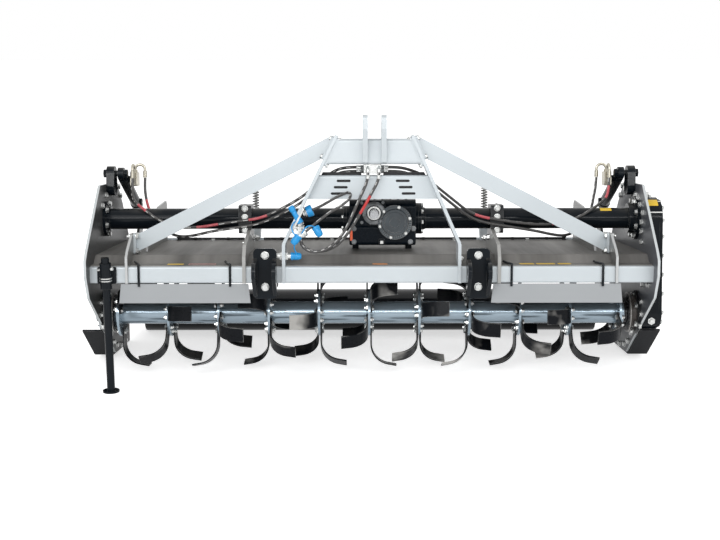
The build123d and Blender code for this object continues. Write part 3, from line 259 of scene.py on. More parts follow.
# ---------------------------------------------------------------- finishes
@dataclass(frozen=True)
class Finish:
    """A painted, plated or bare surface, with its unevenness, worn edges and dust."""

    name: str
    colour: Colour
    roughness: float
    metallic: float = 0.0
    coat: float = 0.0
    shine: float = 0.5
    mottle: float = 0.10
    broad_scale: float = 3.0
    fine_scale: float = 90.0
    stretch: Point = (1.0, 1.0, 1.0)
    bump: float = 0.05
    wear: float = 0.35
    wear_colour: Colour = (0.45, 0.45, 0.44)
    dust: float = 0.10
    dust_colour: Colour = (0.46, 0.43, 0.38)
    smoother: float = 0.07          # how far the roughness strays from its middle
    rougher: float = 0.09

    def extra(self, wiring: Wiring, colour: Socket) -> Socket:
        """Add what only this finish has; a plain finish adds nothing."""
        return colour

    def build(self) -> bpy.types.Material:
        """Make the material.

        Returns:
            The material, built once under the finish's name.
        """
        if self.name in bpy.data.materials:
            return bpy.data.materials[self.name]
        material = bpy.data.materials.new(self.name)
        material.use_nodes = True
        wiring = Wiring(material.node_tree)
        scales = {"Broad Scale": self.broad_scale, "Fine Scale": self.fine_scale, "Stretch": self.stretch}
        uneven = wiring.add("Group", scales, node_tree=uneven_surface()).outputs
        edges = wiring.add("Group", node_tree=edges_and_dust()).outputs
        dark = (*(c * (1 - self.mottle) for c in self.colour), 1)
        pale = (*(min(c * (1 + self.mottle), 1) for c in self.colour), 1)
        tone = wiring.add("Mix", {"Factor": uneven["Broad"], "A": dark, "B": pale}, data_type="RGBA")
        colour = self.extra(wiring, tone.outputs["Result"])
        colour = wiring.layer(colour, edges["Dust"], self.dust, self.dust_colour)
        colour = wiring.layer(colour, edges["Edge"], self.wear, self.wear_colour)
        smooth, rough = max(self.roughness - self.smoother, 0.02), min(self.roughness + self.rougher, 1.0)
        roughness = wiring.add("MapRange", {"Value": uneven["Fine"], "To Min": smooth, "To Max": rough})
        bump = wiring.add("Bump", {"Strength": self.bump, "Distance": 0.001, "Height": uneven["Height"]})
        wiring.feed(material.node_tree.nodes["Principled BSDF"], {
            "Base Color": colour, "Roughness": roughness.outputs["Result"], "Normal": bump.outputs["Normal"],
            "Metallic": self.metallic, "Specular IOR Level": self.shine,
            "Coat Weight": self.coat, "Coat Roughness": 0.08,
        })
        return material


@dataclass(frozen=True)
class PlateShadeFinish(Finish):
    """Silver paint with painted shade: its broad upright faces, across the machine, are painted a darker grey for the
    shade they lie in.
    """

    # painted shade: the darker grey laid on the faces that look across the machine, and where it starts and is whole
    painted_flank_shade: Colour = (0.075, 0.08, 0.078)
    turned: Pair = (0.6, 0.9)       # where the darker grey starts and is whole

    def extra(self, wiring: Wiring, colour: Socket) -> Socket:
        """Paint shade on the faces that look across the machine, darkening them.

        Args:
            wiring: the material's nodes.
            colour: the colour so far.

        Returns:
            The colour with the painted shade on those faces.
        """
        normal = wiring.add("NewGeometry").outputs["Normal"]
        across = wiring.math("ABSOLUTE", wiring.add("SeparateXYZ", {"Vector": normal}).outputs["X"])
        return wiring.layer(colour, wiring.span(across, *self.turned), 1.0, self.painted_flank_shade)


@dataclass(frozen=True)
class AxisFinish(Finish):
    """Paint that changes with the distance from an axis across the machine."""

    axis: Point = (0.0, *TUBE_AXIS)
    near: float = 0.084
    far: float = 0.080
    other: Colour = (0.010, 0.011, 0.013)
    share: float = 1.0

    def reach(self, wiring: Wiring) -> Socket:
        """Mask by the distance from the axis.

        Args:
            wiring: the material's nodes.

        Returns:
            A mask that is 1 where the other colour goes.
        """
        centre = -(LEVEL @ Vector(self.axis))
        centred = wiring.add("Mapping", {"Vector": wiring.place(), "Location": centre}).outputs["Vector"]
        flat = wiring.vector("MULTIPLY", "Vector", centred, (0.0, 1.0, 1.0))
        return wiring.span(wiring.vector("LENGTH", "Value", flat), self.near, self.far)

    def extra(self, wiring: Wiring, colour: Socket) -> Socket:
        """Lay the other colour where the mask says."""
        return wiring.layer(colour, self.reach(wiring), self.share, self.other)


@dataclass(frozen=True)
class BladeFinish(AxisFinish):
    """Black paint that the soil has scoured off the outer ends of some blades."""

    axis: Point = (0.0, *ROTOR_AXIS)
    near: float = 0.235
    far: float = 0.262
    other: Colour = (0.42, 0.41, 0.39)
    share: float = 0.9
    patch_scale: float = 3.1
    patch: Pair = (0.58, 0.66)

    def reach(self, wiring: Wiring) -> Socket:
        """Keep the bare ends to patches."""
        patches = wiring.span(wiring.noise(wiring.place(), self.patch_scale, 4.0), *self.patch)
        return wiring.math("MULTIPLY", super().reach(wiring), patches)


@dataclass(frozen=True)
class HoseFinish(Finish):
    """Hose rubber with a broken printed line and, on some, coloured stretches."""

    spots: tuple[tuple[Point, float], ...] = ()
    spot_colour: Colour = (0.62, 0.10, 0.12)
    dashes: float = 40.0
    dash_share: float = 0.45
    lines: float = 2.0              # printed lines round the hose
    line_width: float = 0.09
    print_colour: Colour = (0.72, 0.72, 0.70)
    print_share: float = 0.8
    spot_share: float = 0.85

    def extra(self, wiring: Wiring, colour: Socket) -> Socket:
        """Draw the printed line along the hose, and colour its marked stretches.

        Args:
            wiring: the material's nodes.
            colour: the colour so far.

        Returns:
            The colour with the marks.
        """
        parts = wiring.add("SeparateXYZ", {"Vector": wiring.add("UVMap").outputs["UV"]}).outputs
        beat = wiring.math("FRACT", wiring.math("MULTIPLY", parts["X"], self.dashes))
        lap = wiring.math("FRACT", wiring.math("MULTIPLY", parts["Y"], self.lines))
        dash = wiring.math("LESS_THAN", beat, self.dash_share)
        line = wiring.math("COMPARE", lap, 0.5, self.line_width)
        colour = wiring.layer(colour, wiring.math("MULTIPLY", dash, line), self.print_share, self.print_colour)
        for middle, reach in self.spots:
            away = wiring.vector("DISTANCE", "Value", wiring.place(), LEVEL @ Vector(middle))
            inside = wiring.math("LESS_THAN", away, reach)
            colour = wiring.layer(colour, inside, self.spot_share, self.spot_colour)
        return colour


SILVER = Finish("silver paint", (0.505, 0.548, 0.572), 0.34, metallic=0.2, mottle=0.05, wear=0.15,
                wear_colour=(0.66, 0.68, 0.69))
NAME_PLATE = Finish("name plate paint", (0.315, 0.33, 0.342), 0.40, metallic=0.1, mottle=0.05, wear=0.2,
                    wear_colour=(0.62, 0.62, 0.62))
# The two side plates wear lit and shaded copies of one paint: the left plate's faces across the machine carry a
# near-black painted shade, the right plate's a lighter painted shade with a painted reflection, and the right one is
# glossier.
SIDE_PLATE_LEFT_SHADED = PlateShadeFinish("left side plate paint, painted shade", (0.54, 0.57, 0.58), 0.30, shine=0.15, mottle=0.06, wear=0.4,
                              wear_colour=(0.66, 0.69, 0.69), painted_flank_shade=(0.048, 0.050, 0.050))
SIDE_PLATE_RIGHT_SHADED = replace(SIDE_PLATE_LEFT_SHADED, name="right side plate paint, painted shade and reflection", shine=0.25, painted_flank_shade=(0.085, 0.090, 0.102))
HOUSING = AxisFinish("bearing housing paint", (0.012, 0.013, 0.015), 0.28, shine=0.2, mottle=0.2, wear=0.2,
                     axis=(0.0, *ROTOR_AXIS), near=0.090, far=0.087, other=(0.085, 0.075, 0.068))
SHIELD = AxisFinish("seal shield", (0.014, 0.014, 0.016), 0.26, metallic=0.3, shine=0.3, mottle=0.2,
                    axis=(0.0, *ROTOR_AXIS), near=0.0935, far=0.0950, other=(0.34, 0.325, 0.31))
SKID = Finish("skid paint", (0.009, 0.010, 0.012), 0.42, shine=0.04, mottle=0.3, wear=0.25)
# Brackets and deck fins: their faces that look across the machine carry a painted shade of darker grey.
SHADED = PlateShadeFinish("bracket paint with painted shade", (0.46, 0.47, 0.47), 0.32, metallic=0.3, mottle=0.06, wear=0.3,
                     wear_colour=(0.62, 0.62, 0.60), painted_flank_shade=(0.16, 0.16, 0.155))
CLAMP = AxisFinish("clamp paint", (0.34, 0.34, 0.33), 0.32, metallic=0.3, mottle=0.10, wear=0.3,
                   wear_colour=(0.62, 0.62, 0.60), near=0.108, far=0.104)
# Deck: the dark brownish tone and the strong streaks that run front to back are a painted reflection of dark
# surroundings on a silver deck.
DECK_PAINTED_REFLECTION = Finish("deck paint with painted reflection", (0.165, 0.160, 0.152), 0.50, metallic=0.15, shine=0.12, mottle=0.85, broad_scale=1.1,
               fine_scale=5.0, stretch=(8.0, 0.6, 0.6), bump=0.01, wear=0.2, wear_colour=(0.5, 0.5, 0.48), dust=0.03)
BLACK = Finish("black gloss paint", (0.005, 0.0075, 0.0105), 0.17, coat=0.05, shine=0.12, mottle=0.25, bump=0.01,
               wear=0.22)
CASTING = Finish("black painted casting", (0.003, 0.006, 0.010), 0.26, mottle=0.35, fine_scale=60.0, bump=0.10,
                 shine=0.09, wear=0.15)
ROUGH_CASTING = Finish("worn casting", (0.16, 0.17, 0.18), 0.40, metallic=0.4, mottle=0.9, broad_scale=26.0,
                       fine_scale=130.0, bump=0.5, wear=0.5, dust=0.0)
SLATE = Finish("cover paint", (0.032, 0.045, 0.055), 0.14, coat=0.4, mottle=0.6, broad_scale=16.0, fine_scale=60.0,
               wear=0.5, dust=0.0)
ROLLER = Finish("roller paint", (0.007, 0.008, 0.011), 0.14, coat=0.15, shine=0.2, mottle=0.3, bump=0.01, wear=0.2,
                dust=0.03)
ROTOR = Finish("rotor paint", (0.31, 0.385, 0.445), 0.19, metallic=0.6, mottle=0.08, fine_scale=9.0, bump=0.0,
               wear_colour=(0.6, 0.64, 0.68))
BLADE = BladeFinish("blade paint", (0.007, 0.008, 0.010), 0.28, shine=0.08, mottle=0.3, wear=0.8)
ZINC = Finish("zinc plate", (0.60, 0.61, 0.60), 0.26, metallic=0.9, mottle=0.18, broad_scale=22.0, wear=0.0, dust=0.0)
BRASS = replace(ZINC, name="plated brass", colour=(0.52, 0.49, 0.41), roughness=0.28, mottle=0.20)
CHROME = Finish("chrome", (0.80, 0.80, 0.81), 0.08, metallic=1.0, mottle=0.03, bump=0.0, wear=0.0, dust=0.0)
STEEL = replace(ZINC, name="turned steel", colour=(0.40, 0.41, 0.42), roughness=0.24, mottle=0.25)
SPRING = Finish("spring steel", (0.10, 0.097, 0.092), 0.30, metallic=0.6, mottle=0.25)
CAP_BLUE = Finish("blue cap", (0.006, 0.27, 0.62), 0.30, mottle=0.12, bump=0.08, wear=0.15,
                  wear_colour=(0.25, 0.5, 0.75), dust=0.02)
RUBBER = Finish("black rubber", (0.014, 0.014, 0.015), 0.55, shine=0.35, mottle=0.25, bump=0.2, wear=0.1)
HOSE = HoseFinish("hose rubber", (0.055, 0.053, 0.052), 0.36, mottle=0.2, fine_scale=160.0, bump=0.12, wear=0.0,
                  dust=0.05)

SLOT_FINISH = {
    "silver_paint": SILVER, "black_paint": BLACK, "casting": CASTING, "roller_paint": ROLLER, "rotor_paint": ROTOR,
    "blade_paint": BLADE, "zinc": ZINC, "chrome": CHROME, "spring_steel": SPRING, "hose_rubber": HOSE,
}
NODE_FINISH = {
    "side_plate_left": SIDE_PLATE_LEFT_SHADED, "side_plate_right": SIDE_PLATE_RIGHT_SHADED, "rotor_bearings": HOUSING,
    "skids": SKID, "brace_bracket_left": SHADED, "brace_bracket_right": SHADED, "tube_bracket_left": CLAMP,
    "tube_bracket_right": CLAMP, "name_plates": NAME_PLATE, "pto_shaft": STEEL, "deck_fins": SHADED, "deck": DECK_PAINTED_REFLECTION,
    "cylinder_valve_left": BRASS, "cylinder_valve_right": BRASS,
}


# ---------------------------------------------------------------- bench work
def clear() -> None:
    """Deselect everything."""
    bpy.ops.object.select_all(action="DESELECT")


def hold(piece: Thing) -> None:
    """Select one piece alone and make it the active one.

    Args:
        piece: the piece.
    """
    clear()
    piece.select_set(True)
    bpy.context.view_layer.objects.active = piece


@contextmanager
def editing(piece: Thing, kind: str = "FACE", action: str = "SELECT") -> Iterator[bmesh.types.BMesh]:
    """Open a piece in edit mode.

    Args:
        piece: the object to edit.
        kind: what is picked, VERT, EDGE or FACE.
        action: SELECT to start with everything picked, DESELECT with nothing.

    Yields:
        Its edit mesh, in which faces and edges are selected by their place.
    """
    hold(piece)
    bpy.ops.object.mode_set(mode="EDIT")
    bpy.ops.mesh.select_mode(type=kind)
    bpy.ops.mesh.select_all(action=action)
    yield bmesh.from_edit_mesh(piece.data)
    bpy.ops.object.mode_set(mode="OBJECT")


def turn_out() -> None:
    """Point all the faces of the piece that is being edited outwards."""
    bpy.ops.mesh.select_all(action="SELECT")
    bpy.ops.mesh.normals_make_consistent(inside=False)


def apply_modifier(piece: Thing, kind: str, **values: float | str | bool | int) -> None:
    """Add one modifier to a piece and apply it.

    Args:
        piece: the object.
        kind: the modifier's type.
        values: its settings.
    """
    hold(piece)
    modifier = piece.modifiers.new(kind.lower(), kind)
    for key, value in values.items():
        setattr(modifier, key, value)
    bpy.ops.object.modifier_apply(modifier=modifier.name)


def turned(steps: Steps, corners: int = 24) -> Thing:
    """Shape a turned piece that stands on the origin, as on a lathe.

    Args:
        steps: (height, radius) from the bottom face to the top face.
        corners: corners round the piece; six make a hexagon.

    Returns:
        The closed piece.
    """
    clear()
    height, radius = steps[0]
    bpy.ops.mesh.primitive_circle_add(vertices=corners, radius=radius, fill_type="NGON", location=(0, 0, height))
    piece = bpy.context.object
    bpy.ops.object.transform_apply(location=True)
    with editing(piece):
        for next_height, next_radius in steps[1:]:
            bpy.ops.mesh.extrude_region_move(TRANSFORM_OT_translate={"value": (0, 0, next_height - height)})
            share = next_radius / radius
            bpy.ops.transform.resize(value=(share, share, 1), center_override=(0, 0, next_height))
            height, radius = next_height, next_radius
        turn_out()
    return piece


def washer(profile: Steps, sides: int) -> Thing:
    """Spin an open-middled ring that stands on the origin.

    Args:
        profile: its closed section as (height, radius) corners.
        sides: how many sides it has.

    Returns:
        The ring.
    """
    clear()
    bpy.ops.mesh.primitive_plane_add(size=0.001)
    piece = bpy.context.object
    mesh = bmesh.new()
    mesh.faces.new([mesh.verts.new((radius, 0.0, height)) for height, radius in profile])
    mesh.to_mesh(piece.data)
    mesh.free()
    with editing(piece):
        bpy.ops.mesh.spin(steps=sides, angle=math.tau, center=(0, 0, 0), axis=(0, 0, 1))
        bpy.ops.mesh.select_all(action="SELECT")
        bpy.ops.mesh.remove_doubles(threshold=0.00001)
        bpy.ops.mesh.select_all(action="SELECT")
        bpy.ops.mesh.delete_loose()
        turn_out()
    return piece


def join(pieces: Iterable[Thing]) -> Thing:
    """Join several objects into one.

    Args:
        pieces: the objects.

    Returns:
        The joined object.
    """
    clear()
    pieces = list(pieces)
    for piece in pieces:
        piece.select_set(True)
    bpy.context.view_layer.objects.active = pieces[0]
    if len(pieces) > 1:
        bpy.ops.object.join()
    return bpy.context.view_layer.objects.active


def copies(master: Thing, places: Iterable[Matrix]) -> list[Thing]:
    """Copy a master piece to many places, each copy with its own mesh, and drop the master.

    Args:
        master: the piece, modelled at the origin.
        places: matrices in the level machine's frame.

    Returns:
        The copies.
    """
    made = []
    for place in places:
        copy = master.copy()
        copy.data = master.data.copy()
        copy.data.transform(place)
        bpy.context.collection.objects.link(copy)
        made.append(copy)
    bpy.data.objects.remove(master)
    return made


def smooth_line(name: str, points: Iterable[Point], radius: float, fineness: int) -> Thing:
    """Draw a round bar or hose as one smooth curve.

    Args:
        name: its name.
        points: where it runs.
        radius: half its thickness.
        fineness: how finely it is divided.

    Returns:
        The curve object.
    """
    points = list(points)
    curve = bpy.data.curves.new(name, "CURVE")
    curve.dimensions = "3D"
    spline = curve.splines.new("NURBS")
    spline.points.add(len(points) - 1)
    for point, place in zip(spline.points, points):
        point.co = (*place, 1)
    spline.order_u = 3
    spline.use_endpoint_u = True
    spline.resolution_u = fineness + 3
    curve.bevel_depth = radius
    curve.bevel_resolution = fineness
    curve.use_fill_caps = True
    piece = bpy.data.objects.new(name, curve)
    bpy.context.collection.objects.link(piece)
    return piece


def wire(name: str, points: tuple[Point, ...], radius: float = 0.0032) -> Thing:
    """Bend a round bar or strap along a smooth line.

    Args:
        name: its name.
        points: where it runs.
        radius: half its thickness.

    Returns:
        The bar as a mesh, in the level machine's frame.
    """
    hold(smooth_line(name, points, radius, 2))
    bpy.ops.object.convert(target="MESH")
    return bpy.context.object


def finish_piece(pieces: Iterable[Thing], name: str, finish: Finish = ZINC,
                 body: str = "frame", smooth: float = 32.0) -> Thing:
    """Join pieces, put them on the parked machine, dress them and say what they ride on.

    Args:
        pieces: the objects, modelled in the level machine's frame.
        name: the joined piece's name.
        finish: what it is dressed in, zinc plate if nothing is said.
        body: the body that it moves with.
        smooth: angle under which its edges are shaded smooth, in degrees.

    Returns:
        The piece.
    """
    piece = join(pieces)
    piece.name = name
    piece.data.name = name
    piece.data.transform(LEVEL)
    piece.data.materials.clear()
    piece.data.materials.append(finish.build())
    hold(piece)
    bpy.ops.object.shade_smooth_by_angle(angle=math.radians(smooth))
    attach(piece, body)
    log.info("made %s, %d faces", name, len(piece.data.polygons))
    return piece


def set_turned(name: str, steps: Steps, corners: int, places: Iterable[Matrix], finish: Finish = ZINC,
               body: str = "frame") -> Thing:
    """Turn a piece, copy it to its places and finish the copies as one piece."""
    return finish_piece(copies(turned(steps, corners), places), name, finish, body)


@dataclass(frozen=True)
class Bolt:
    """A hexagon bolt or nut on its washer; sizes in metres."""

    across: float = 0.019
    head: float = 0.008
    washer: float = 0.0135
    washer_thick: float = 0.0018
    thread: float = 0.0
    chamfer: float = 0.84           # radii, as shares of the radius to a corner
    thread_foot: float = 0.56
    thread_end: float = 0.52

    def master(self) -> Thing:
        """Model one bolt that stands on the origin.

        Returns:
            The bolt.
        """
        corner = self.across / math.sqrt(3)
        base = self.washer_thick
        top = base + self.head
        parts = [
            turned(((0.0, self.washer), (base * 0.7, self.washer), (base, self.washer * 0.94)), 16),
            turned(((base * 0.5, corner), (top - self.head * 0.2, corner), (top, corner * self.chamfer)), 6),
        ]
        if self.thread:
            end = top + self.thread
            parts.append(turned(((top, corner * self.thread_foot), (end, corner * self.thread_end)), 10))
        return join(parts)

    def set_plain(self, name: str, places: Iterable[Matrix], body: str) -> Thing:
        """Set a group of plain heads or nuts of few faces, without washers.

        Args:
            name: the group's name.
            places: where each stands.
            body: the body that they move with.

        Returns:
            The group as one piece.
        """
        corner = self.across / math.sqrt(3)
        steps = [(0.0, corner), (self.head * 0.8, corner), (self.head, corner * self.chamfer)]
        if self.thread:
            steps += [(self.head, corner * 0.55), (self.head + self.thread, corner * self.thread_end)]
        return set_turned(name, tuple(steps), 6, places, body=body)

    def set(self, name: str, places: Iterable[Matrix], body: str = "frame", finish: Finish = ZINC) -> Thing:
        """Set a group of these bolts.

        Args:
            name: the group's name.
            places: where each stands.
            body: the body that they move with.
            finish: what they are dressed in, zinc plate if nothing is said.

        Returns:
            The group as one piece.
        """
        return finish_piece(copies(self.master(), places), name, finish, body=body)


def ring(base: Matrix, radius: float, count: int, start: float = 0.0) -> list[Matrix]:
    """Spread places round a circle.

    Args:
        base: the circle's middle and the way that the pieces face.
        radius: its radius.
        count: how many places.
        start: angle of the first, in degrees.

    Returns:
        The matrices.
    """
    spots = []
    for number in range(count):
        angle = math.radians(start + number * 360 / count)
        arm = Matrix.Translation((radius * math.cos(angle), radius * math.sin(angle), 0))
        spots.append(base @ arm @ Matrix.Rotation(angle, 4, "Z"))
    return spots


def grid(across: tuple[float, ...], up: tuple[float, ...]) -> Steps:
    """Pair every offset across with every offset up."""
    return tuple((a, b) for a in across for b in up)


M8 = Bolt(0.013, 0.0055, 0.0082, 0.0012)
M10 = Bolt(0.016, 0.007, 0.0105, 0.0016)
M12 = Bolt(0.019, 0.008, 0.0130, 0.0018)
M16 = Bolt(0.024, 0.010, 0.0165, 0.0022)
M16_NUT = Bolt(0.024, 0.012, 0.0165, 0.0022, thread=0.006)
M12_NUT = Bolt(0.019, 0.010, 0.0130, 0.0018, thread=0.005)
M20 = Bolt(0.030, 0.0125, 0.0195, 0.0025)


# ---------------------------------------------------------------- studio
@dataclass
class Studio:
    """The pale floor, the soft lights, the white surroundings and the camera."""

    eye: Point = (-0.0503, -6.0741, 1.7849)
    turn: Point = (77.80, 0.098, 0.04)
    lens: float = 59.45
    floor_size: float = 80.0
    floor_glow: float = 0.42
    eye_glow: float = 0.22
    light_strength: float = 0.66
    lights: tuple[tuple[str, Point, Point, Pair, float], ...] = (
        ("front lamp", (-2.5, -6.0, 4.2), (0.0, 0.0, 0.5), (4.0, 4.0), 120.0),
        ("side lamp", (4.5, -4.0, 3.2), (0.2, 0.2, 0.6), (3.0, 3.0), 60.0),
        ("strip lamp", (0.0, -6.4, 2.75), (0.0, -0.2, 0.6), (7.0, 0.35), 115.0),
    )

    def camera(self) -> None:
        """Place the camera."""
        data = bpy.data.cameras.new("camera")
        data.lens = self.lens
        data.sensor_width = 36.0
        camera = bpy.data.objects.new("camera", data)
        camera.location = self.eye
        camera.rotation_euler = [math.radians(angle) for angle in self.turn]
        bpy.context.collection.objects.link(camera)
        bpy.context.scene.camera = camera

    @staticmethod
    def seen(wiring: Wiring, rays: bpy.types.Node) -> Socket:
        """Give 1 on the rays from the eye, through glass and off glossy surfaces."""
        found = wiring.math("MAXIMUM", rays.outputs["Is Camera Ray"], rays.outputs["Is Transmission Ray"])
        return wiring.math("MAXIMUM", found, rays.outputs["Is Glossy Ray"])

    def surroundings(self) -> None:
        """Make the world white to the eye and in reflections, and a plain level of light."""
        world = bpy.data.worlds.new("surroundings")
        bpy.context.scene.world = world
        world.use_nodes = True
        nodes, wiring = world.node_tree.nodes, Wiring(world.node_tree)
        wiring.feed(nodes["Background"], {"Color": (1, 1, 1, 1), "Strength": self.light_strength})
        white = wiring.add("Background", {"Color": (1, 1, 1, 1)}).outputs["Background"]
        mix = wiring.add("MixShader", {
            "Fac": self.seen(wiring, wiring.add("LightPath")), 1: nodes["Background"].outputs["Background"], 2: white})
        wiring.feed(nodes["World Output"], {"Surface": mix.outputs["Shader"]})

    def lamps(self) -> None:
        """Hang two large soft lamps, and a long low one that draws a line along the tubes."""
        for name, place, aim, size, power in self.lights:
            data = bpy.data.lights.new(name, "AREA")
            data.shape = "RECTANGLE"
            data.size, data.size_y = size
            data.energy = power
            lamp = bpy.data.objects.new(name, data)
            lamp.location = place
            lamp.rotation_euler = (Vector(aim) - Vector(place)).to_track_quat("-Z", "Y").to_euler()
            bpy.context.collection.objects.link(lamp)

    def floor(self) -> None:
        """Lay the floor, white to the eye, with a faint shadow."""
        bpy.ops.mesh.primitive_plane_add(size=self.floor_size, location=(0, 0, -0.0005))
        ground = bpy.context.object
        ground.name = "floor"
        material = bpy.data.materials.new("floor")
        material.use_nodes = True
        wiring = Wiring(material.node_tree)
        rays = wiring.add("LightPath")
        glow = wiring.math("MULTIPLY", self.seen(wiring, rays), self.floor_glow)
        glow = wiring.math("MULTIPLY_ADD", rays.outputs["Is Camera Ray"], self.eye_glow, glow)
        wiring.feed(material.node_tree.nodes["Principled BSDF"], {
            "Base Color": (0.93, 0.93, 0.93, 1), "Roughness": 0.9, "Specular IOR Level": 0.1,
            "Emission Color": (1, 1, 1, 1), "Emission Strength": glow,
        })
        ground.data.materials.append(material)

    def build(self) -> None:
        """Build the whole studio."""
        bpy.context.scene.view_settings.view_transform = "Standard"
        self.camera()
        self.surroundings()
        self.lamps()
        self.floor()


# ---------------------------------------------------------------- oil lines
@dataclass(frozen=True)
class Hose:
    """One free hose: where it runs, what it measures and how it is marked."""

    node: str
    route: tuple[Point, ...]
    diameter: float = 0.014
    length: float = 1.4
    spots: tuple[tuple[Point, float], ...] = ()
    spot_colour: Colour = (0.62, 0.10, 0.12)
    dash_step: float = 0.045

    def build(self) -> None:
        points = [LEVEL @ Vector(place) for place in self.route]
        piece = smooth_line(f"{self.node}_line", points, self.diameter / 2, 3)
        look = replace(HOSE, name=f"hose rubber {self.node}", spots=self.spots, spot_colour=self.spot_colour,
                       dashes=round(self.length / self.dash_step))
        piece.data.materials.append(look.build())
        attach(piece, "frame")
        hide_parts(self.node)
        log.info("laid %s", self.node)


HOSES = (
    Hose("hose_left_front", (
        (-1.215, 0.4641, 1.0079), (-1.216, 0.458, 0.955), (-1.208, 0.428, 0.905), (-1.178, 0.378, 0.882),
        (-1.128, 0.33, 0.852), (-1.062, 0.304, 0.806), (-0.97, 0.298, 0.775), (-0.87, 0.297, 0.768),
        (-0.76, 0.296, 0.786), (-0.631, 0.295, 0.804), (-0.541, 0.288, 0.818), (-0.44, 0.25, 0.866),
        (-0.347, 0.2, 0.92), (-0.285, 0.162, 0.97), (-0.232, 0.138, 1.018), (-0.182, 0.11, 1.055),
        (-0.128, 0.098, 1.074), (-0.072, 0.098, 1.074)),
        length=1.44,
        spots=(((-1.148, 0.35, 0.866), 0.035), ((-0.815, 0.297, 0.776), 0.055), ((-0.56, 0.29, 0.815), 0.05))),
    Hose("hose_left_rear", (
        (-1.165, 0.5461, 1.0079), (-1.168, 0.545, 0.955), (-1.16, 0.53, 0.905), (-1.146, 0.505, 0.862),
        (-1.124, 0.482, 0.815), (-1.085, 0.462, 0.768), (-1.03, 0.425, 0.732), (-0.965, 0.372, 0.716),
        (-0.89, 0.318, 0.726), (-0.79, 0.292, 0.752), (-0.68, 0.29, 0.768), (-0.56, 0.288, 0.786),
        (-0.46, 0.258, 0.829), (-0.36, 0.208, 0.885), (-0.285, 0.163, 0.945), (-0.232, 0.138, 0.993),
        (-0.182, 0.11, 1.035), (-0.128, 0.098, 1.055), (-0.072, 0.098, 1.055)),
        length=1.47, spots=(((-1.15, 0.51, 0.87), 0.03),)),
    Hose("hose_right_front", (
        (1.215, 0.4641, 1.0079), (1.213, 0.458, 0.955), (1.196, 0.43, 0.908), (1.158, 0.382, 0.884),
        (1.108, 0.33, 0.858), (1.04, 0.306, 0.818), (0.943, 0.298, 0.788), (0.84, 0.297, 0.78),
        (0.72, 0.296, 0.792), (0.583, 0.294, 0.813), (0.492, 0.28, 0.839), (0.392, 0.222, 0.919),
        (0.3, 0.168, 0.992), (0.245, 0.145, 1.038), (0.188, 0.112, 1.06), (0.134, 0.098, 1.074),
        (0.08, 0.098, 1.074)),
        length=1.413,
        spots=(((1.205, 0.445, 0.93), 0.04), ((0.55, 0.29, 0.82), 0.04), ((0.93, 0.298, 0.787), 0.03))),
    Hose("hose_right_rear", (
        (1.165, 0.5461, 1.0079), (1.163, 0.545, 0.955), (1.15, 0.53, 0.905), (1.138, 0.505, 0.862),
        (1.12, 0.482, 0.815), (1.085, 0.462, 0.768), (1.035, 0.425, 0.732), (0.975, 0.372, 0.718),
        (0.905, 0.318, 0.73), (0.815, 0.292, 0.752), (0.7, 0.29, 0.77), (0.575, 0.29, 0.79),
        (0.492, 0.276, 0.815), (0.392, 0.218, 0.894), (0.3, 0.166, 0.969), (0.245, 0.143, 1.012),
        (0.188, 0.112, 1.04), (0.134, 0.098, 1.055), (0.08, 0.098, 1.055)),
        length=1.463),
    Hose("supply_hose_left", (
        (-0.018, -0.004, 1.052), (-0.018, -0.004, 1.016), (-0.04, -0.007, 0.965), (-0.072, -0.007, 0.895),
        (-0.106, -0.004, 0.815), (-0.14, 0.0, 0.756), (-0.18, 0.003, 0.71), (-0.225, 0.005, 0.683),
        (-0.278, 0.006, 0.672), (-0.322, 0.006, 0.692), (-0.341, 0.005, 0.732), (-0.341, 0.005, 0.778)),
        length=0.625),
    Hose("supply_hose_right", (
        (0.034, -0.004, 1.052), (0.034, -0.004, 1.016), (0.008, -0.005, 0.97), (-0.024, -0.004, 0.91),
        (-0.06, 0.005, 0.848), (-0.1, 0.013, 0.78), (-0.148, 0.022, 0.718), (-0.196, 0.03, 0.686),
        (-0.25, 0.035, 0.672), (-0.302, 0.037, 0.681), (-0.332, 0.038, 0.706), (-0.341, 0.038, 0.742),
        (-0.341, 0.038, 0.778)),
        length=0.662, spots=(((-0.03, -0.003, 0.90), 0.05),), spot_colour=(0.55, 0.02, 0.02)),
    Hose("loop_hose", (
        (-0.31, -0.03, 0.777), (-0.2812, -0.03, 0.801), (-0.24, -0.035, 0.834), (-0.195, -0.042, 0.869),
        (-0.148, -0.046, 0.8945), (-0.1101, -0.0475, 0.9232), (-0.099, -0.0347, 0.9412),
        (-0.1002, -0.014, 0.9546), (-0.1132, 0.0067, 0.9582), (-0.1329, 0.0195, 0.9506), (-0.172, 0.02, 0.932),
        (-0.212, 0.026, 0.908), (-0.2514, 0.038, 0.886), (-0.285, 0.038, 0.872)),
        diameter=0.013, length=0.517),
)


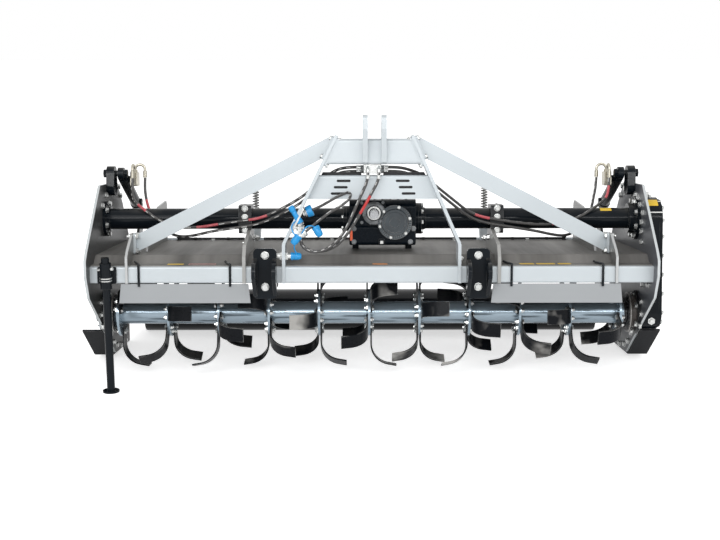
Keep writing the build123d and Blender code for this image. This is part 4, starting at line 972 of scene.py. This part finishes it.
@dataclass
class Couplers:
    """Caps, collars and tethers of the quick couplers on the left mast leg."""

    upright_x: float = -0.341
    rows: Pair = (0.005, 0.038)
    corners: int = 28
    cross_way: Point = (0.923, 0.0, 0.385)     # the coupler that lies across
    long_cap_steps: Steps = (
        (-0.004, 0.0165), (0.006, 0.0172), (0.008, 0.0160), (0.030, 0.0150), (0.033, 0.0128), (0.060, 0.0120),
        (0.063, 0.0150), (0.084, 0.0145), (0.088, 0.0110))
    cap_steps: Steps = (
        (-0.006, 0.0185), (0.004, 0.0190), (0.006, 0.0172), (0.010, 0.0172), (0.012, 0.0186), (0.030, 0.0176),
        (0.040, 0.0145), (0.044, 0.0105))
    collar_steps: Steps = (
        (0.0, 0.0185), (0.003, 0.0200), (0.008, 0.0200), (0.010, 0.0178), (0.013, 0.0178), (0.015, 0.0200),
        (0.020, 0.0200), (0.023, 0.0180))
    cup: Steps = ((-0.010, 0.0190), (-0.010, 0.0260), (0.014, 0.0285), (0.018, 0.0270), (0.018, 0.0215))
    ferrule_steps: Steps = (
        (0.0, 0.0095), (0.001, 0.0106), (0.005, 0.0106), (0.0055, 0.0100), (0.008, 0.0100), (0.0085, 0.0106),
        (0.017, 0.0106), (0.018, 0.0095))
    tethers: tuple[tuple[Point, ...], ...] = (
        ((-0.352, 0.000, 0.828), (-0.378, -0.030, 0.812), (-0.374, -0.046, 0.775), (-0.352, -0.038, 0.750)),
        ((-0.332, -0.042, 0.762), (-0.322, -0.060, 0.785), (-0.292, -0.060, 0.812), (-0.266, -0.034, 0.798)),
        ((-0.356, -0.038, 0.735), (-0.368, -0.030, 0.705), (-0.362, -0.005, 0.680), (-0.356, 0.004, 0.668)))

    def build(self) -> None:
        """Cap the couplers and add their collars."""
        set_turned("coupler_long_cap", self.long_cap_steps, self.corners,
                   [facing((-0.339, -0.004, 0.818), (-0.50, -0.06, 0.86))], CAP_BLUE)
        set_turned("coupler_caps", self.cap_steps, self.corners, [
            facing((-0.262, -0.030, 0.792), (0.50, -0.22, -0.84)),
            facing((-0.346, -0.034, 0.752), (-0.62, -0.10, -0.78)),
            Way.RIGHT.at(-0.378, 0.02, 0.655)], CAP_BLUE)
        set_turned("coupler_collars", self.collar_steps, self.corners, [
            *(Way.UP.at(self.upright_x, y, 0.790) for y in self.rows),
            facing((-0.318, 0.038, 0.8583), self.cross_way),
            facing((-0.330, -0.030, 0.7603), (0.768, 0.0, 0.640)),
            Way.LEFT.at(-0.462, 0.02, 0.655)])
        cups = copies(washer(self.cup, 32), [facing((-0.298, 0.038, 0.8667), self.cross_way)])
        finish_piece(cups, "coupler_cup", CAP_BLUE)
        lines = [wire(f"tether_{number}", route) for number, route in enumerate(self.tethers)]
        finish_piece(lines, "coupler_tethers", CAP_BLUE)
        set_turned("hose_ferrules", self.ferrule_steps, 20, [
            *(facing((x, -0.004, 1.040), (0, 0, -1)) for x in (-0.018, 0.034)),
            *(Way.UP.at(self.upright_x, y, 0.752) for y in self.rows)])


# ---------------------------------------------------------------- frame
@dataclass
class SidePlates:
    """Bolts and small parts on the two side plates, the rotor bearings and the skids."""

    inner: float = 1.340
    outer: float = 1.352
    skid: float = 1.360
    case_edge: float = 0.5          # the drive case covers the right plate's nuts in front of this
    upper: Steps = ((0.711, 0.955), (0.756, 0.905), (0.557, 0.928), (0.401, 0.925), (0.302, 0.878))
    front: Steps = (
        (0.232, 0.842), (0.258, 0.795), (0.258, 0.750), (0.252, 0.697), (0.207, 0.493), (0.095, 0.504),
        (0.340, 0.910), (0.470, 0.926), (0.640, 0.945))
    lower: Steps = (
        (0.222, 0.404), (0.212, 0.344), (0.228, 0.283), (0.424, 0.214), (0.495, 0.159), (0.570, 0.130),
        (0.685, 0.112), (0.800, 0.112))
    skid_bolts: Steps = ((0.575, 0.120), (0.690, 0.118), (0.800, 0.118))
    bearing: Pair = (1.326, 0.094)  # how far out the ring of bolts stands, and its radius
    cap: Pair = (1.364, 0.070)
    flange: float = 1.324
    flange_rings: tuple[tuple[int, float], ...] = ((6, 0.076), (8, 0.092))   # left and right
    pivot: Point = (1.281, 0.985, 0.560)
    nipple_out: float = 1.385
    nipple: Steps = (
        (0.0, 0.006), (0.003, 0.006), (0.0035, 0.0035), (0.009, 0.0035), (0.010, 0.0042), (0.013, 0.0030))

    def build(self) -> None:
        """Set the fasteners of both sides."""
        for (side, hand), (count, radius) in zip(SIDES, self.flange_rings):
            inward, outward = Way.across(-side), Way.across(side)
            spots = [inward.at(side * self.inner, y, z, 7 * y) for y, z in self.upper + self.lower]
            if side > 0:
                spots += [inward.at(side * self.inner, y, z) for y, z in self.front]
            M16.set(f"plate_bolts_{hand}", spots)
            nuts = [(y, z) for y, z in self.upper if side < 0 or y > self.case_edge]
            M16_NUT.set(f"plate_nuts_{hand}", [outward.at(side * self.outer, y, z, 20 * y) for y, z in nuts])
            M16_NUT.set(f"skid_bolts_{hand}", [outward.at(side * self.skid, y, z, 9) for y, z in self.skid_bolts])
            M16.set(f"bearing_bolts_{hand}", ring(
                inward.at(side * self.bearing[0], *ROTOR_AXIS), self.bearing[1], 6, 30))
            M16.set(f"tube_flange_bolts_{hand}", ring(
                inward.at(side * self.flange, *TUBE_AXIS), radius, count, 22))
            M20.set(f"arm_pivot_bolts_{hand}", [inward.at(side * self.pivot[0], *self.pivot[1:], 12)])
        M12.set("bearing_cap_bolts", ring(Way.LEFT.at(-self.cap[0], *ROTOR_AXIS), self.cap[1], 6, 15))
        set_turned("bearing_grease_nipple", self.nipple, 14, [Way.LEFT.at(-self.nipple_out, *ROTOR_AXIS)])


@dataclass
class DriveCase:
    """Cover bolts and plugs of the side drive's case."""

    face: float = 1.454
    top: Point = (*TUBE_AXIS, 0.105)          # Y, Z and radius of the case's round ends
    bottom: Point = (*ROTOR_AXIS, 0.088)
    inset: float = 0.024
    round_step: float = 47.5
    plug: Steps = ((0.0, 0.019), (0.004, 0.019), (0.0045, 0.013), (0.012, 0.0125), (0.014, 0.0105))
    breather: Steps = ((0.0, 0.009), (0.020, 0.009), (0.022, 0.013), (0.034, 0.013), (0.037, 0.008))

    def cover_places(self) -> list[Matrix]:
        """Spread the bolts along the inside of the cover's edge, round its ends and down its sides.

        Returns:
            The bolts' places.
        """
        spots = []
        for (y, z, r), start in ((self.top, -5), (self.bottom, 175)):
            for number in range(5):
                angle = math.radians(start + number * self.round_step)
                spots.append((y + (r - self.inset) * math.cos(angle), z + (r - self.inset) * math.sin(angle)))
        for side, _ in SIDES:
            for share in (0.2, 0.4, 0.6, 0.8):
                y, z, r = (a + (b - a) * share for a, b in zip(self.top, self.bottom))
                reach = side * (r - self.inset)
                spots.append((y + reach * 0.995, z - reach * 0.09))
        return [Way.RIGHT.at(self.face, y, z, 30 * z) for y, z in spots]

    def build(self) -> None:
        """Bolt the cover on and set the plugs."""
        M12.set("drive_cover_bolts", self.cover_places())
        set_turned("drive_case_plugs", self.plug, 6, [
            Way.UP.at(1.400, 0.390, 0.911), Way.RIGHT.at(self.face, 0.352, 0.420), Way.FRONT.at(1.400, 0.262, 0.300)])
        set_turned("drive_case_breather", self.breather, 18, [Way.UP.at(1.378, 0.350, 0.905)])


@dataclass
class Mast:
    """Bolts and nuts of the mast, the braces and the brackets on the front beam."""

    foot: Point = (1.146, 0.182, 0.702)
    foot_thick: float = 0.024
    brace_bolts: Steps = grid((-0.021, 0.021), (-0.036, 0.036))     # offsets to the rear and up
    brace_nuts: Steps = grid((-0.021, 0.021), (-0.036, 0.034))
    leg_faces: Pair = (-0.010, 0.025)         # of the plates inside and outside a leg
    leg_middle: float = 0.060
    outer_bolts: Steps = grid((-0.030, 0.030), (-0.047, 0.047))     # offsets to the rear and along the leg
    outer_height: float = 1.170
    inner_bolts: Steps = grid((-0.046, 0.0, 0.046), (-0.0665, 0.0665))
    inner_height: float = 1.150
    clamp: Point = (0.630, 0.320, TUBE_AXIS[1])
    clamp_front: tuple[float, ...] = (-0.055, 0.012, 0.055)
    clamp_rear: Pair = (-0.055, 0.055)
    bracket_foot: Point = (0.622, 0.330, 0.690)
    bracket_inner: float = 0.590
    bracket_bolts: Steps = ((0.300, 0.720), (0.480, 0.700))
    hitch: float = 0.505
    hitch_front: Pair = (0.662, 0.512)
    hitch_rear: Steps = grid((-0.034, 0.034), (0.515, 0.583))
    leg_side: float = 0.425
    leg_bolts: Steps = ((0.045, 0.640), (0.020, 0.560))

    @staticmethod
    def leg_face(side: int, out: float) -> Matrix:
        """Find the sloping face of a mast leg.

        Args:
            side: -1 for the left leg and 1 for the right.
            out: distance outwards from its inner face.

        Returns:
            A matrix whose Z points outwards, X to the rear and Y along the leg.
        """
        foot = Vector((side * LEG_FOOT[0], 0.0, LEG_FOOT[1]))
        head = Vector((HITCH + side * LEG_HEAD[0], 0.0, LEG_HEAD[1]))
        along = (head - foot).normalized()
        outward = Vector((side * along.z, 0.0, -side * along.x))
        turn = Matrix((Way.REAR.value, along, outward)).transposed()
        return Matrix.Translation(foot + outward * out) @ turn.to_4x4()

    def build(self) -> None:
        """Set the mast's fasteners."""
        for side, hand in SIDES:
            inward, outward = Way.across(-side), Way.across(side)
            inner, outer = (self.leg_face(side, out) for out in self.leg_faces)
            up = (self.outer_height - outer.translation.z) / outer.col[1].z
            heads = [outer @ Matrix.Translation((self.leg_middle + y, up + z, 0)) for y, z in self.outer_bolts]
            up = (self.inner_height - LEG_FOOT[1]) / inner.col[1].z
            flip = Matrix.Rotation(math.pi, 4, "X")
            heads += [
                inner @ Matrix.Translation((self.leg_middle + y, up + z, 0)) @ flip for y, z in self.inner_bolts]
            M12.set(f"headstock_bolts_{hand}", heads)
            x, y, z = self.foot
            M16.set(f"brace_bolts_{hand}", [
                inward.at(side * x, y + a, z + b, 10) for a, b in self.brace_bolts])
            M16_NUT.set(f"brace_nuts_{hand}", [
                outward.at(side * (x + self.foot_thick), y + a, z + b, 25) for a, b in self.brace_nuts])
            x, y, z = self.clamp
            M16.set(f"clamp_bolts_{hand}", [
                *(Way.FRONT.at(side * x, y, z + b, 15) for b in self.clamp_front),
                *(Way.REAR.at(side * (x + 0.012), y + 0.140, z + b, 5) for b in self.clamp_rear)])
            M16_NUT.set(f"tube_bracket_bolts_{hand}", [
                outward.at(side * self.bracket_foot[0], *self.bracket_foot[1:], 8),
                *(inward.at(side * self.bracket_inner, y, z, 8) for y, z in self.bracket_bolts)])
            x = side * self.hitch
            M20.set(f"hitch_bolts_{hand}", [Way.FRONT.at(x, -0.020, z, 9) for z in self.hitch_front])
            M16_NUT.set(f"hitch_nuts_{hand}", [Way.REAR.at(x + a, 0.092, z, 9) for a, z in self.hitch_rear])
            M12_NUT.set(f"leg_foot_nuts_{hand}", [
                outward.at(side * self.leg_side, y, z, 14) for y, z in self.leg_bolts])


@dataclass
class CrossTubes:
    """The gearbox's covers, rings and plugs, and the bolts of the cross tubes' flanges."""

    cover: Pair = (0.117, 0.797)    # X and Z of the round cover and of the input shaft
    shaft: Pair = (HITCH, 0.843)
    cover_face: float = 0.237       # depths, from the cover to the housing behind it
    rim_face: float = 0.244
    rim_ring: Pair = (0.2418, 0.0765)         # depth and radius of a ring of bolts
    seal_face: float = 0.2325
    housing_face: float = 0.250
    housing_ring: Pair = (0.2455, 0.0505)
    housing_bolts: Steps = ((-0.060, 0.893), (-0.060, 0.797), (0.044, 0.895))
    seam_face: float = 0.262
    seam: Steps = ((-0.085, 0.700), (-0.085, 0.765), (0.195, 0.700), (0.210, 0.765))
    right_ring: Pair = (0.253, 0.0695)
    left_ring: Pair = (-0.139, 0.0575)
    drain: Steps = ((0.0, 0.0125), (0.010, 0.0125), (0.0125, 0.0100))
    cover_steps: Steps = (
        (-0.002, 0.0640), (0.0005, 0.0655), (0.003, 0.0640), (0.0032, 0.0520), (0.006, 0.0500), (0.0065, 0.0260),
        (0.0085, 0.0240))
    rim: Steps = ((0.0, 0.0670), (0.0, 0.0850), (0.0022, 0.0845), (0.0022, 0.0675))
    housing: Steps = ((0.0, 0.0375), (0.0, 0.0570), (0.003, 0.0560), (0.006, 0.0480), (0.006, 0.0385))
    seal: Steps = ((0.0, 0.0250), (0.0, 0.0350), (0.004, 0.0345), (0.007, 0.0320), (0.007, 0.0260))
    breather: Steps = (
        (0.0, 0.020), (0.006, 0.020), (0.007, 0.014), (0.020, 0.0135), (0.024, 0.017), (0.032, 0.016), (0.035, 0.011))

    @staticmethod
    def front(middle: Pair, depth: float) -> Matrix:
        """Stand a piece on the front of the gearbox, over a middle given by X and Z."""
        return Way.FRONT.at(middle[0], depth, middle[1])

    def build(self) -> None:
        """Add what is bolted and plugged on the drive line."""
        set_turned("gear_cover", self.cover_steps, 48, [self.front(self.cover, self.cover_face)], SLATE)
        rim = copies(washer(self.rim, 48), [self.front(self.cover, self.rim_face)])
        finish_piece(rim, "gear_cover_rim", SLATE)
        M8.set("gear_cover_bolts", ring(self.front(self.cover, self.rim_ring[0]), self.rim_ring[1], 6, 15))
        housing = copies(washer(self.housing, 40), [self.front(self.shaft, self.housing_face)])
        finish_piece(housing, "input_housing_ring", ROUGH_CASTING)
        M8.set("input_housing_bolts", [
            *(Way.FRONT.at(HITCH + x, self.housing_face, z, 20) for x, z in self.housing_bolts),
            *ring(self.front(self.shaft, self.housing_ring[0]), self.housing_ring[1], 6, 10)], finish=ROUGH_CASTING)
        finish_piece(copies(washer(self.seal, 32), [self.front(self.shaft, self.seal_face)]), "shaft_seal_ring")
        (right, wide), (left, narrow) = self.right_ring, self.left_ring
        M12.set("gearbox_flange_bolts_right", ring(Way.RIGHT.at(right, *TUBE_AXIS), wide, 8, 12))
        M10.set("gearbox_flange_bolts_left", ring(Way.LEFT.at(left, *TUBE_AXIS), narrow, 6, 12))
        M12.set("gearbox_seam_bolts", [Way.FRONT.at(x, self.seam_face, z, 10) for x, z in self.seam],
                finish=ROUGH_CASTING)
        set_turned("gearbox_drain_plug", self.drain, 4, [Way.FRONT.at(HITCH + 0.038, 0.245, 0.700, 45)])
        set_turned("gearbox_breather", self.breather, 20, [Way.UP.at(HITCH + 0.058, 0.395, 0.907)])


@dataclass
class Rotor:
    """The bolts and nuts that hold the blades on the rotor's flanges, and the seal shields."""

    first: float = -1.260
    pitch: float = 0.250
    flanges: int = 11
    twist: float = 23.0
    half_flange: float = 0.006
    blade: float = 0.008
    reach: float = 0.093
    spread: float = 0.021
    shield_face: float = 1.299
    shield: Steps = (
        (0.0, 0.098), (0.002, 0.102), (0.0060, 0.102), (0.0065, 0.094), (0.010, 0.094), (0.0105, 0.080),
        (0.014, 0.078), (0.0145, 0.052), (0.032, 0.050))

    def places(self) -> tuple[list[Matrix], list[Matrix]]:
        """Work out where the blades' bolts and nuts stand.

        Returns:
            The heads' places and the nuts' places.
        """
        heads, nuts = [], []
        for number in range(self.flanges):
            x = self.first + number * self.pitch
            for side, _ in SIDES:
                if number == (0 if side < 0 else self.flanges - 1):
                    continue
                for turn in range(3):
                    angle = math.radians(number * self.twist + turn * 120 + (60 if side > 0 else 0))
                    for across in (-self.spread, self.spread):
                        y = ROTOR_AXIS[0] + across * math.cos(angle) - self.reach * math.sin(angle)
                        z = ROTOR_AXIS[1] + across * math.sin(angle) + self.reach * math.cos(angle)
                        heads.append(Way.across(side).at(x + side * (self.half_flange + self.blade), y, z, 30))
                        nuts.append(Way.across(-side).at(x - side * self.half_flange, y, z, 12))
        return heads, nuts

    def build(self) -> None:
        """Bolt all the blades on and close the rotor's ends."""
        heads, nuts = self.places()
        Bolt(0.022, 0.0095).set_plain("blade_bolts", heads, "rotor")
        Bolt(0.022, 0.0115, thread=0.006).set_plain("blade_nuts", nuts, "rotor")
        ends = [Way.across(-side).at(side * self.shield_face, *ROTOR_AXIS) for side, _ in SIDES]
        set_turned("seal_shields", self.shield, 40, ends, SHIELD, "rotor")


@dataclass
class Springs:
    """The two coil springs over the tailgate's rods, and the rods' nuts and pins."""

    x: float = 0.636
    y: float = 1.017
    seat: float = 0.757
    top: float = 0.925
    mean: float = 0.01725
    wire: float = 0.0029
    turns: int = 11
    nut_height: float = 0.943
    pin_height: float = 0.6062
    pin_out: float = 0.022
    bracket: Pair = (0.907, 0.680)            # Y and Z of the bracket's bolts
    bracket_step: float = 0.018
    pin_steps: Steps = ((0.0, 0.0075), (0.004, 0.0075), (0.0045, 0.0032), (0.012, 0.0030))

    def coil(self, x: float) -> Thing:
        """Wind one spring with a screw of a small ring.

        Args:
            x: where it stands across the machine.

        Returns:
            The spring, in the level machine's frame.
        """
        clear()
        bpy.ops.mesh.primitive_circle_add(
            vertices=9, radius=self.wire, location=(self.mean, 0, 0), rotation=(math.pi / 2, 0, 0))
        piece = bpy.context.object
        bpy.ops.object.transform_apply(location=True, rotation=True)
        height = self.top - self.seat - 2 * self.wire - 0.001
        apply_modifier(piece, "SCREW", angle=math.tau, screw_offset=height / self.turns, iterations=self.turns,
                       steps=22, render_steps=22, axis="Z", use_merge_vertices=False)
        with editing(piece, "EDGE"):
            bpy.ops.mesh.remove_doubles(threshold=0.00002)
            bpy.ops.mesh.fill_holes(sides=12)
            turn_out()
        piece.data.transform(Matrix.Translation((x, self.y, self.seat + self.wire + 0.0005)))
        return piece

    def build(self) -> None:
        """Wind both springs in place of their plain sleeves."""
        springs = [self.coil(side * self.x) for side, _ in SIDES]
        coils = finish_piece(springs, "spring_coils", SPRING, smooth=60)
        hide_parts("tailgate_springs")
        for side, hand in SIDES:
            x, rod = side * self.x, f"spring_rod_{hand}"
            M12.set(f"spring_rod_nuts_{hand}", [Way.UP.at(x, self.y, self.nut_height)], body=rod)
            pins = [Way.across(way).at(x + way * self.pin_out, self.y, self.pin_height) for way, _ in SIDES]
            set_turned(f"spring_rod_pins_{hand}", self.pin_steps, 14, pins, body=rod)
            M12.set(f"spring_bracket_bolts_{hand}", [
                Way.REAR.at(x + way * self.bracket_step, *self.bracket, 10) for way, _ in SIDES])


@dataclass
class RollerEnds:
    """Bolts of the roller's bearings and of the cylinders' pins."""

    body: str = "roller_frame"
    heads: Pair = (1.290, 0.050)    # how far out a ring of bolts stands, and its radius
    nuts: Pair = (1.327, 0.044)
    pin: Point = (1.305, 1.115, 0.735)
    pin_steps: Steps = ((0.0, 0.021), (0.003, 0.021), (0.0032, 0.0125), (0.013, 0.0125), (0.015, 0.010))

    @staticmethod
    def axis() -> Pair:
        """Find the roller's axis on the level machine from its node's box.

        Returns:
            Its Y and Z.
        """
        low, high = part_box("roller")
        middle = LEVEL.inverted() @ ((Vector(low) + Vector(high)) / 2)
        return middle.y, middle.z

    def build(self) -> None:
        """Set the bolts that ride on the roller's arms."""
        bearing = self.axis()
        for side, hand in SIDES:
            inward, outward = Way.across(-side), Way.across(side)
            heads = ring(inward.at(side * self.heads[0], *bearing), self.heads[1], 4, 45)
            M16.set(f"roller_bearing_bolts_{hand}", heads, body=self.body)
            nuts = ring(outward.at(side * self.nuts[0], *bearing), self.nuts[1], 4, 45)
            M12_NUT.set(f"roller_bearing_nuts_{hand}", nuts, body=self.body)
            head = outward.at(side * self.pin[0], *self.pin[1:])
            set_turned(f"lever_pin_head_{hand}", self.pin_steps, 18, [head], body=self.body)


@dataclass
class Stand:
    """The rings and the pin of the parking stand."""

    ring_steps: Steps = ((0.0, 0.0285), (0.001, 0.0298), (0.005, 0.0298), (0.006, 0.0285))
    ring_share: float = 0.30        # how far up the holder the rings sit
    ring_step: float = 0.012
    pin_drop: float = 0.030
    pin_way: Point = (1.0, -0.25, 0.12)
    pin_steps: Steps = ((-0.042, 0.0062), (0.030, 0.0062), (0.0302, 0.0095), (0.036, 0.0095), (0.040, 0.0065))

    def build(self) -> None:
        """Dress the stand's holder, whose place is read from the frame."""
        low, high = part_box("stand_holder")
        leg_low, leg_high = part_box("stand_leg")
        x, y = (leg_low[0] + leg_high[0]) / 2, (leg_low[1] + leg_high[1]) / 2
        inverse = LEVEL.inverted()
        base = low[2] + (high[2] - low[2]) * self.ring_share
        rings = [inverse @ Way.UP.at(x, y, base + up) for up in (0.0, self.ring_step)]
        set_turned("stand_rings", self.ring_steps, 32, rings)
        pin = inverse @ facing((x, y, high[2] - self.pin_drop), self.pin_way)
        set_turned("stand_pin", self.pin_steps, 16, [pin])


# ---------------------------------------------------------------- blank stickers
@dataclass(frozen=True)
class Sticker:
    """One blank coloured patch; its middle, size and colour, and the way that it faces."""

    name: str
    middle: Point
    width: float
    height: float
    colour: Colour
    outline: float = 0.0
    way: Way = Way.UP

    def build(self) -> None:
        """Cut the patch, round its corners and stick it on."""
        clear()
        bpy.ops.mesh.primitive_plane_add(size=1.0)
        piece = bpy.context.object
        piece.scale = (self.width, self.height, 1.0)
        bpy.ops.object.transform_apply(scale=True)
        with editing(piece, "VERT"):
            bpy.ops.mesh.bevel(offset=min(self.width, self.height) * 0.18, segments=3, affect="VERTICES")
            if self.outline:
                bpy.ops.mesh.select_mode(type="FACE")
                bpy.ops.mesh.select_all(action="SELECT")
                bpy.ops.mesh.inset(thickness=self.outline)
                bpy.ops.mesh.delete(type="FACE")
        apply_modifier(piece, "SOLIDIFY", thickness=0.0006, offset=1.0)
        piece.data.transform(self.way.at(*self.middle))
        finish = Finish(f"sticker {self.name}", self.colour, 0.35, mottle=0.08, broad_scale=9.0, bump=0.02, wear=0.3,
                        wear_colour=(0.5, 0.5, 0.48))
        finish_piece([piece], f"sticker_{self.name}", finish)


@dataclass(frozen=True)
class Band:
    """One blank mark that lies round a part of a tube."""

    name: str
    colour: Colour
    start: float
    radius: float
    width: float
    first: float
    last: float

    def build(self) -> None:
        """Cut the band out of a thin ring and lay it on."""
        band = turned(((0.0, self.radius), (self.width, self.radius)), 120)
        with editing(band, action="DESELECT") as mesh:
            for face in mesh.faces:
                centre = face.calc_center_median()
                angle = math.degrees(math.atan2(centre.y, centre.x))
                face.select_set(abs(face.normal.z) > 0.9 or not self.first < angle < self.last)
            bmesh.update_edit_mesh(band.data)
            bpy.ops.mesh.delete(type="FACE")
        apply_modifier(band, "SOLIDIFY", thickness=0.0005, offset=1.0)
        upright = Matrix(((0, 0, 1, 0), (0, -1, 0, 0), (1, 0, 0, 0), (0, 0, 0, 1)))
        band.data.transform(Matrix.Translation((self.start, *TUBE_AXIS)) @ upright)
        finish = Finish(f"band {self.name}", self.colour, 0.35, mottle=0.08, bump=0.02, wear=0.2, dust=0.05)
        finish_piece([band], f"sticker_{self.name}", finish)


@dataclass
class Stickers:
    """The small blank patches on the frame; none carries any writing."""

    yellow: Colour = (0.80, 0.52, 0.03)
    orange: Colour = (0.80, 0.26, 0.03)
    red: Colour = (0.78, 0.11, 0.03)
    pink: Colour = (0.72, 0.30, 0.28)
    white: Colour = (0.80, 0.80, 0.78)
    row: float = 0.058              # Y and Z of the row on the front beam's top
    beam: float = 0.6122

    def build(self) -> None:
        """Stick all the patches on."""
        for label, x, width, height, colour, outline in (
            ("left", -0.940, 0.078, 0.044, self.yellow, 0.0),
            ("left_outline", -0.812, 0.130, 0.044, self.pink, 0.0035),
            ("middle", 0.041, 0.072, 0.042, self.orange, 0.0),
            ("right_a", 0.745, 0.070, 0.044, self.yellow, 0.0),
            ("right_b", 0.835, 0.090, 0.044, self.yellow, 0.0),
            ("right_c", 0.925, 0.062, 0.044, self.yellow, 0.0),
        ):
            Sticker(f"beam_{label}", (x, self.row, self.beam), width, height, colour, outline).build()
        Sticker("gearbox", (-0.098, 0.2617, 0.738), 0.012, 0.066, self.red, way=Way.FRONT).build()
        Band("tube", self.yellow, 1.152, 0.0524, 0.056, 12, 43).build()
        Band("case", self.yellow, 1.372, 0.1056, 0.058, 28, 52).build()
        Band("case_line_a", self.white, 1.432, 0.1056, 0.019, 33, 36).build()
        Band("case_line_b", self.white, 1.366, 0.1056, 0.085, 68, 71).build()


# ---------------------------------------------------------------- bars and sheets
@dataclass
class PlateHooks:
    """The four bent bars that hook over the front beam and carry the name plates."""

    middles: Pair = (-0.890, 0.882)
    apart: float = 0.217
    radius: float = 0.0058
    top: float = 0.6190
    bottom: float = 0.512

    def build(self) -> None:
        """Bend the bars in place of the plain flats."""
        front = -self.radius - 0.0005
        bars = []
        for x in (middle + side * self.apart for middle in self.middles for side, _ in SIDES):
            route = (
                (x, front, self.bottom), (x, front, self.top - 0.040), (x, front, self.top - 0.004),
                (x, front + 0.002, self.top), (x - 0.004, 0.012, self.top), (x - 0.024, 0.062, self.top),
                (x - 0.030, 0.076, self.top + 0.004))
            bars.append(wire(f"hook_{len(bars)}", route, self.radius))
        hooks = finish_piece(bars, "plate_hooks", BLACK, smooth=50)
        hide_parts("plate_straps")


@dataclass
class GuardShadeSheets:
    """Dark sheets that paint shade: one behind the slotted guard, darkening what shows through its slots, and a strip
    above it where the guard's folded top lies in shadow.
    """

    depth: float = 0.0475
    thick: float = 0.003
    bottom: float = 0.930
    top: float = 1.028
    strip_depth: float = 0.060
    strip: Pair = (1.0345, 1.052)
    strip_gap: Pair = (-0.048, 0.056)

    @staticmethod
    def span(height: float, gap: float) -> Pair:
        """Find the room between the mast legs.

        Args:
            height: how high, on the level machine.
            gap: what stays free at each side.

        Returns:
            The room's left and right ends.
        """
        share = (height - LEG_FOOT[1]) / (LEG_HEAD[1] - LEG_FOOT[1])
        half = LEG_FOOT[0] + (LEG_HEAD[0] - LEG_FOOT[0]) * share - gap
        return share * HITCH - half, share * HITCH + half

    def sheet(self, corners: Steps, depth: float) -> Thing:
        """Cut one upright sheet.

        Args:
            corners: its corners as (across, up).
            depth: where its middle stands.

        Returns:
            The sheet.
        """
        clear()
        bpy.ops.mesh.primitive_plane_add(size=1.0)
        piece = bpy.context.object
        with editing(piece) as mesh:
            bmesh.ops.delete(mesh, geom=list(mesh.verts), context="VERTS")
            mesh.faces.new([mesh.verts.new((x, depth, z)) for x, z in corners])
            bmesh.update_edit_mesh(piece.data)
            bpy.ops.mesh.select_all(action="SELECT")
            bpy.ops.mesh.subdivide(number_cuts=2)
        apply_modifier(piece, "SOLIDIFY", thickness=self.thick, offset=0.0)
        apply_modifier(piece, "BEVEL", width=0.0008, segments=2)
        return piece

    def build(self) -> None:
        """Hang the two dark sheets that paint the shade behind and above the guard."""
        low, high = self.span(self.bottom, 0.008), self.span(self.top, 0.008)
        corners = ((low[0], self.bottom), (low[1], self.bottom), (high[1], self.top), (high[0], self.top))
        # painted shade: a dark sheet behind the guard, seen through its slots
        finish_piece([self.sheet(corners, self.depth)], "guard_apron", RUBBER)
        bottom, top = self.strip
        left, right = self.strip_gap
        low, high = self.span(bottom, 0.010), self.span(top, 0.010)
        # painted shadow: a dark strip where the guard's folded top lies in shadow
        finish_piece([
            self.sheet(((low[0], bottom), (left, bottom), (left, top), (high[0], top)), self.strip_depth),
            self.sheet(((right, bottom), (low[1], bottom), (high[1], top), (right, top)), self.strip_depth),
        ], "guard_edge_strip", RUBBER)


@dataclass
class DeckEdge:
    """Knobs, rail and bolts along the deck's rear edge."""

    knob_steps: Steps = (
        (0.0, 0.013), (0.004, 0.013), (0.005, 0.008), (0.012, 0.008), (0.014, 0.0125), (0.022, 0.0125), (0.025, 0.009))
    line: float = 0.905
    rail_height: float = 0.6585
    rail: float = 0.0066
    clip: float = 0.0078
    clip_every: float = 0.19
    runs: Steps = ((-1.050, -0.690), (-0.585, 0.585), (0.690, 1.064))
    bolts: tuple[float, ...] = (-1.28, -0.86, -0.43, -0.21, 0.24, 0.46, 0.86, 1.28)

    def rail_steps(self, length: float) -> Steps:
        """Outline one run of the rail, with its clips.

        Args:
            length: how long the run is.

        Returns:
            Its (height, radius) steps.
        """
        steps = [(0.0, 0.0050), (0.002, self.rail)]
        clips = round(length / self.clip_every)
        for number in range(clips):
            middle = (number + 0.5) * length / clips
            steps += [(middle - 0.008, self.rail), (middle - 0.0075, self.clip),
                      (middle + 0.0075, self.clip), (middle + 0.008, self.rail)]
        return (*steps, (length - 0.002, self.rail), (length, 0.0050))

    def build(self) -> None:
        """Set the knobs, the rail and the bolts."""
        knobs = [Way.UP.at(x, self.line, DECK_TOP) for x in (-1.052, 1.066)]
        set_turned("deck_knobs", self.knob_steps, 20, knobs, RUBBER)
        rails = []
        for start, end in self.runs:
            master = turned(self.rail_steps(end - start), 16)
            rails += copies(master, [Way.RIGHT.at(start, self.line, self.rail_height)])
        finish_piece(rails, "deck_edge_rail", RUBBER)
        M12.set("deck_bolts", [Way.UP.at(x, 0.875, DECK_TOP, 40 * x) for x in self.bolts])


# ---------------------------------------------------------------- the whole machine
def dress_nodes(frame: dict) -> None:
    """Give every node of the frame the finish of its material slot.
    """
    for row in frame["record"]["subparts"]:
        piece = frame["nodes"][row["node"]]
        finish = NODE_FINISH.get(row["node"], SLOT_FINISH[row["material_slot"]])
        piece.data.materials.clear()
        piece.data.materials.append(finish.build())


def main() -> None:
    """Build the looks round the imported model."""
    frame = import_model()
    clear()
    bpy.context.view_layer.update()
    Studio().build()
    for hose in HOSES:
        hose.build()
    dress_nodes(frame)
    for assembly in (
        SidePlates(), DriveCase(), Mast(), CrossTubes(), Rotor(), RollerEnds(), Springs(), Couplers(), Stand(),
        DeckEdge(), PlateHooks(), GuardShadeSheets(), Stickers(),
    ):
        assembly.build()
        log.info("built %s", type(assembly).__name__)


if __name__ == "__main__":
    main()
